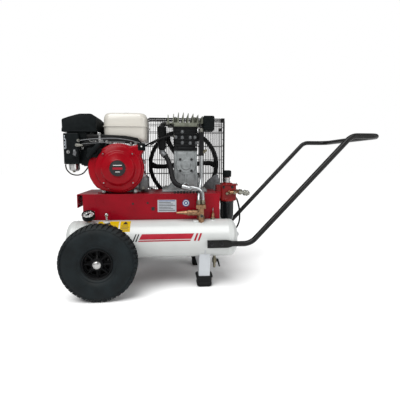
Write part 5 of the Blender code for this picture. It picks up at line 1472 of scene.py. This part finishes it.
def build_manifold():
    dress("valve_manifold", "yellow_brass", 0.001)
    x, y = (DELIVERY_X + RISER_X) / 2, VALVE_Y
    detail = Shape("manifold_fittings", "yellow_brass")
    detail.add(rod((x, y, 0.296), (x, y, 0.308), 0.0175, 6, 0.0012))
    detail.add(rod((x, y, 0.308), (x, y, 0.311), 0.015, 32, 0.0008), "pale_brass")
    detail.add(rod((x + 0.002, y - 0.012, 0.313), (x + 0.002, y - 0.0235, 0.313), 0.0085, 6, 0.001),
        "pale_brass")
    # Dark disc in the port's mouth: painted shade for its bore.
    detail.add(rod((x + 0.002, y - 0.0235, 0.313), (x + 0.002, y - 0.025, 0.313), 0.005, 20, 0.0005),
        "dark_print_and_painted_shade")
    for turn_x in (DELIVERY_X, RISER_X):
        detail.add(lathe([(0, 0), (0.0098, 0), (0.0104, 0.0012), (0.0104, 0.004), (0.009, 0.0052),
            (0, 0.0052)], (turn_x, y, 0.3545), UP, 32))
    for reach, radius in ((-0.014, 0.0135), (-0.03, 0.0132), (-0.046, 0.0128)):
        detail.add(lathe([(0, 0), (radius - 0.0008, 0), (radius, 0.0008), (radius, 0.0042),
            (radius - 0.0008, 0.005), (0, 0.005)], (x + reach, y, 0.325), (-1, 0, 0), 32))
    detail.place()
    dress("safety_valve", "yellow_brass", 0.0005)
    dress("safety_ring", "bright_steel")
    collar = Shape("valve_collars", "pale_brass")
    valve = middle("safety_valve")
    base = low("safety_valve").z
    collar.add(rod((valve.x, valve.y, base), (valve.x, valve.y, base + 0.008), 0.0105, 6, 0.001))
    for k in range(3):
        z = base + 0.0145 + 0.0038 * k
        collar.add(lathe([(0.0064, -0.001), (0.0072, 0), (0.0064, 0.001), (0.0058, 0), (0.0064, -0.001)],
            (valve.x, valve.y, z), UP, 24), "yellow_brass")
    collar.place()
    tap = Shape("pet_cock", "bright_steel")
    chain = [(0, 0.0), (0.0068, 0.0), (0.0068, 0.006), (0.004, 0.0075), (0.0036, 0.022), (0.006, 0.024),
        (0.0078, 0.028), (0.008, 0.031), (0.007, 0.035), (0.004, 0.0378), (0, 0.0385)]
    tap.add(lathe(chain, (PETCOCK_X, PETCOCK_Y, 0.3025 - 0.0135), UP, 32))
    tap.place()


SCALE_START, SCALE_SWEEP = 225, 270            # degrees on the dial


def build_gauge():
    a = middle("gauge_needle")
    lean = math.radians(29)
    normal = Vector((0, -math.sin(lean), math.cos(lean)))
    face = a + normal * 0.003
    case = Shape("gauge_housing", "moulded_black")
    shell = [(0.0242, -0.005), (0.0236, -0.001), (0.0245, 0.0005), (0.0256, 0.0005), (0.0264, -0.001),
        (0.0262, -0.003), (0.0256, -0.0042), (0.0256, -0.019), (0.0245, -0.0212), (0.0125, -0.0245),
        (0.009, -0.0262), (0, -0.0262), (0, -0.02), (0.0242, -0.018), (0.0242, -0.005)]
    origin = Vector((middle("gauge_case").x, face.y, face.z))
    case.add(lathe(shell, origin, normal, 64))
    foot = origin - normal * 0.0245
    case.add(pipe([foot + normal * 0.004, foot, Vector((foot.x, foot.y + 0.001, foot.z - 0.01)),
        Vector((foot.x, foot.y + 0.001, 0.287))], 0.006, 6), "yellow_brass")
    case.place(stands_for=("gauge_case",))
    tilt = Matrix.Translation(origin) @ Matrix.Rotation(lean, 4, "X")
    dial = Shape("gauge_dial", "label_white").add(lathe([(0, -0.0062), (0.024, -0.0062), (0.024, -0.0068),
        (0, -0.0068)], (0, 0, 0), UP, 64), turn=tilt)
    for k in range(25):
        turn = math.radians(SCALE_START - SCALE_SWEEP * k / 24)
        inner = 0.0165 if k % 6 == 0 else 0.0186
        mark = block((inner, -0.0006, -0.0062), (0.0212, 0.0006, -0.0058))
        dial.add(mark, "dark_print_and_painted_shade", tilt @ Matrix.Rotation(turn, 4, "Z"))
    for k in range(12):
        turn = math.radians(SCALE_START - SCALE_SWEEP * (k + 12.5) / 24.5)
        mark = block((0.013, -0.0012, -0.0062), (0.015, 0.0012, -0.0059))
        dial.add(mark, "label_red", tilt @ Matrix.Rotation(turn, 4, "Z"))
    dial.add(lathe([(0, -0.0038), (0.0028, -0.004), (0.003, -0.0058), (0, -0.0058)], (0, 0, 0), UP, 24),
        "dark_print_and_painted_shade", tilt)
    dial.place()
    glass = Shape("gauge_lens", "clear_lens").add(lathe([(0, 0.0004), (0.012, 0.0001), (0.0238, -0.001),
        (0.0238, -0.0016), (0.012, -0.0006), (0, -0.0003)], (0, 0, 0), UP, 64), turn=tilt)
    glass.place()
    dress("gauge_needle", "dark_print_and_painted_shade")


def build_regulator():
    dress("regulator_body", "regulator_enamel", 0.0015)
    a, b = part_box("regulator_body")
    knob_at = middle("regulator_knob")
    x, y = knob_at.x, knob_at.y
    trim = Shape("regulator_trim", "regulator_enamel")
    trim.add(lathe([(0.025, 0), (0.0262, 0.0008), (0.0262, 0.0045), (0.024, 0.0065), (0.0135, 0.008),
        (0.0128, 0.007), (0.0128, 0.0), (0.025, 0)], (x, y, 0.4335), UP, 48))
    trim.add(lathe([(0.0129, 0), (0.0162, 0.0004), (0.0162, 0.006), (0.014, 0.0075), (0.014, 0.015),
        (0.0152, 0.016), (0.0152, 0.0225), (0.0129, 0.0235), (0.0129, 0)], (x, y, 0.442), UP, 40),
        "bright_steel")
    trim.add(lathe([(0.031, -0.006), (0.034, -0.006), (0.0346, -0.0045), (0.0346, 0.0045), (0.0335, 0.006),
        (0.031, 0.006), (0.031, -0.006)], (x, y, a.z + 0.004), UP, 48))
    trim.add(block((x - 0.028, a.y - 0.003, 0.429), (b.x + 0.006, b.y + 0.002, 0.435), 0.0015))
    trim.bolt((b.x + 0.001, a.y + 0.005, 0.435), UP, 0.0032, 0.005, "bright_steel")
    trim.bolt((x - 0.02, a.y, 0.4215), -ACROSS, 0.0042, 0.004, "dark_bolt")
    trim.bolt((x + 0.02, a.y, 0.4215), -ACROSS, 0.0042, 0.004, "dark_bolt")
    trim.place()
    elbow = Shape("outlet_elbow", "yellow_brass")
    front = a.y - 0.0155
    x += 0.012
    elbow.add(rod((x - 0.006, a.y + 0.002, 0.3965), (x - 0.006, front + 0.004, 0.3965), 0.0085, 24, 0.001))
    elbow.add(cord([(x - 0.006, a.y + 0.001, 0.3965), (x - 0.005, front + 0.003, 0.397),
        (x + 0.004, front, 0.3985), (x + 0.02, front + 0.001, 0.399), (x + 0.031, a.y + 0.004, 0.3995)],
        0.0068, 20))
    elbow.add(rod((x + 0.01, front, 0.3985), (x + 0.019, front + 0.0005, 0.399), 0.0098, 6, 0.001),
        "pale_brass")
    elbow.add(rod((x - 0.018, a.y + 0.001, 0.3925), (x - 0.018, a.y - 0.01, 0.3925), 0.0062, 6, 0.0008),
        "pale_brass")
    elbow.place()
    knob = Shape("regulator_handwheel", "moulded_black")
    base, x = low("regulator_knob").z, knob_at.x
    knob.add(lathe([(0, 0.031), (0.013, 0.031), (0.0165, 0.0302), (0.0182, 0.0285), (0.0188, 0.0255),
        (0.0188, 0.003), (0.0175, 0.0005), (0, 0.0)], (x, y, base), UP, 60))
    knurl(knob, Vector((x, y, base + 0.003)), 0.0186, 18, 0.024, 0.0015)
    knob.add(lathe([(0.008, 0.0308), (0.0112, 0.0314), (0.0118, 0.0308)], (x, y, base), UP, 40),
        "dark_print_and_painted_shade")
    knob.place("regulator_knob", ("regulator_knob",))
    bowl = Shape("filter_cup", "smoked_bowl")
    top = high("filter_bowl").z
    cup = [(0, 0), (0.032, 0), (0.0324, -0.002), (0.032, -0.012), (0.0311, -0.014), (0.0309, -0.07),
        (0.0298, -0.08), (0.0252, -0.0885), (0.012, -0.094), (0.006, -0.095), (0.006, -0.101),
        (0.0048, -0.1027), (0, -0.1027)]
    bowl.add(lathe(cup, (x, y, top), UP, 60))
    knurl(bowl, Vector((x, y, top - 0.014)), 0.0308, 8, -0.052, 0.0016, start=0.2)
    bowl.place(stands_for=("filter_bowl",))


def build_coupler():
    dress("coupler_body", "zinc_plate", 0.0004)
    root = Vector((0.0933, -0.03, 0.401))
    heading = Vector((0.985, 0.0, -0.173)).normalized()
    nut = Shape("coupler_nut", "pale_brass")
    nut.add(rod(root + heading * 0.0125, root + heading * 0.0265, 0.0128, 6, 0.0012))
    nut.add(rod(root - heading * 0.0035, root + heading * 0.0115, 0.0096, 6, 0.0008), "yellow_brass")
    nut.place()
    sleeve = Shape("coupler_ring", "zinc_plate")
    ring = [(0.0088, 0.058), (0.0118, 0.058), (0.0126, 0.057), (0.0134, 0.0545), (0.0134, 0.052),
        (0.0124, 0.0505), (0.0124, 0.0475), (0.0134, 0.046), (0.0134, 0.0385), (0.0126, 0.0365),
        (0.0088, 0.0362), (0.0088, 0.058)]
    sleeve.add(lathe(ring, root, heading, 48))
    turn = UP.rotation_difference(heading).to_matrix().to_4x4()
    for k in range(24):
        a = 2 * math.pi * k / 24
        tooth = block((0.0126, -0.0007, 0.039), (0.0138, 0.0007, 0.0455), 0.0003, 1)
        sleeve.add(tooth, turn=Matrix.Translation(root) @ turn @ Matrix.Rotation(a, 4, "Z"))
    sleeve.place("coupler_sleeve", ("coupler_sleeve",))


def build_drain():
    dress("drain_cock", "pale_brass", 0.0005)
    a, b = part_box("drain_lever")
    lever = Shape("drain_handle", "moulded_black")
    y = (a.y + b.y) / 2
    outline = [(a.x, b.z), (a.x, b.z - 0.011), (a.x + 0.004, b.z - 0.013), (a.x + 0.0095, a.z + 0.002),
        (a.x + 0.0125, a.z), (b.x - 0.0005, a.z + 0.0015), (b.x, a.z + 0.0045), (a.x + 0.008, b.z - 0.003),
        (a.x + 0.006, b.z)]
    lever.add(slab(outline, a.y, b.y, bevel=0.0014))
    lever.add(rod((a.x - 0.001, y, b.z - 0.005), (a.x + 0.0072, y, b.z - 0.005), 0.0034, 6, 0.0005),
        "zinc_plate")
    lever.place("drain_lever", ("drain_lever",))
    far = Shape("far_drain_plug", "zinc_plate")
    x, z = middle("drain_cock").x, TANK.z - TANK_R - 0.001
    far.add(rod((x, abs(TANK.y), z), (x, abs(TANK.y), z - 0.009), 0.0085, 6, 0.001))
    far.place()


# ---------------------------------------------------------------- studio
FLOOR_REACH = 14.0
# Strength of the white surroundings, on the object and as the camera sees them.
FILL_STRENGTH, BACKDROP_STRENGTH = 0.34, 1.0
SKY_ENERGY, SKY_ANGLE, SKY_HEADING = 3.3, 50, (0.26, 0.42, -0.87)
SENSOR, LENS = 36.0, 30.69                     # millimetres
CAMERA_AT, CAMERA_DIP, CAMERA_SWING = (-0.216, -1.6, 0.532), 6.19, -5.11


def build_studio():
    scene = bpy.context.scene
    scene.view_settings.view_transform = "Standard"
    floor_mesh = bpy.data.meshes.new("studio_floor")
    reach = FLOOR_REACH
    floor_mesh.from_pydata([(-reach, -reach, 0), (reach, -reach, 0), (reach, reach, 0),
        (-reach, reach, 0)], [], [(0, 1, 2, 3)])
    floor = bpy.data.objects.new("studio_floor", floor_mesh)
    scene.collection.objects.link(floor)
    pale = bpy.data.materials.new("pale_floor")
    pale.use_nodes = True
    tree = pale.node_tree
    shader = tree.nodes["Principled BSDF"]
    shader.inputs["Roughness"].default_value = 0.75
    shade = blend_colour(tree, ramp(tree, noise(tree, 3, 3), 0, 1), (0.9, 0.9, 0.9), (0.93, 0.93, 0.93))
    tree.links.new(shade, shader.inputs["Base Color"])
    floor_mesh.materials.append(pale)
    world = bpy.data.worlds.new("studio")
    scene.world = world
    world.use_nodes = True
    back = world.node_tree.nodes["Background"]
    back.inputs["Color"].default_value = (1.0, 1.0, 1.0, 1.0)
    seen = wire(world.node_tree, "ShaderNodeLightPath")
    world.node_tree.links.new(ramp(world.node_tree, seen.outputs["Is Camera Ray"], FILL_STRENGTH,
        BACKDROP_STRENGTH, 0.0, 1.0), back.inputs["Strength"])
    sun = bpy.data.lights.new("sky_panel", "SUN")
    sun.energy = SKY_ENERGY
    sun.angle = math.radians(SKY_ANGLE)
    lamp = bpy.data.objects.new("sky_panel", sun)
    lamp.rotation_euler = Vector(SKY_HEADING).to_track_quat("-Z", "Y").to_euler()
    scene.collection.objects.link(lamp)
    soft_light("key", (-1.5, -2.2, 2.2), (-0.2, 0, 0.35), 1.2, 18)
    soft_light("fill", (2.2, -1.2, 1.6), (-0.1, 0, 0.2), 1.6, 16)
    soft_light("under", (0.9, -1.5, 0.5), (0.2, 0.4, 0.0), 1.0, 5)


def soft_light(name, at, target, size, power):
    lamp = bpy.data.lights.new(name, "AREA")
    lamp.shape = "SQUARE"
    lamp.size = size
    lamp.energy = power
    obj = bpy.data.objects.new(name, lamp)
    obj.location = at
    obj.rotation_euler = (Vector(target) - Vector(at)).to_track_quat("-Z", "Y").to_euler()
    bpy.context.scene.collection.objects.link(obj)


def build_camera():
    data = bpy.data.cameras.new("camera")
    data.sensor_width = SENSOR
    data.lens = LENS
    camera = bpy.data.objects.new("camera", data)
    camera.location = CAMERA_AT
    camera.rotation_euler = (math.radians(90 - CAMERA_DIP), 0, math.radians(CAMERA_SWING))
    bpy.context.scene.collection.objects.link(camera)
    bpy.context.scene.camera = camera


build_camera()
build_studio()
make_finishes()
build_tanks()
build_tank_stickers()
build_frame_parts()
build_base_details()
build_wheel("near", -1)
build_wheel("far", 1)
build_handle()
build_engine_covers()
build_starter()
build_switch_and_linkage()
build_fuel_tank()
build_air_cleaner()
build_cylinder_cowl()
build_carburettor_side()
build_engine_body()
build_muffler()
build_pump_case()
build_cylinder_block()
build_head()
build_cooler()
build_flywheel()
build_belt()
build_guard()
build_air_lines()
build_manifold()
build_gauge()
build_regulator()
build_coupler()
build_drain()
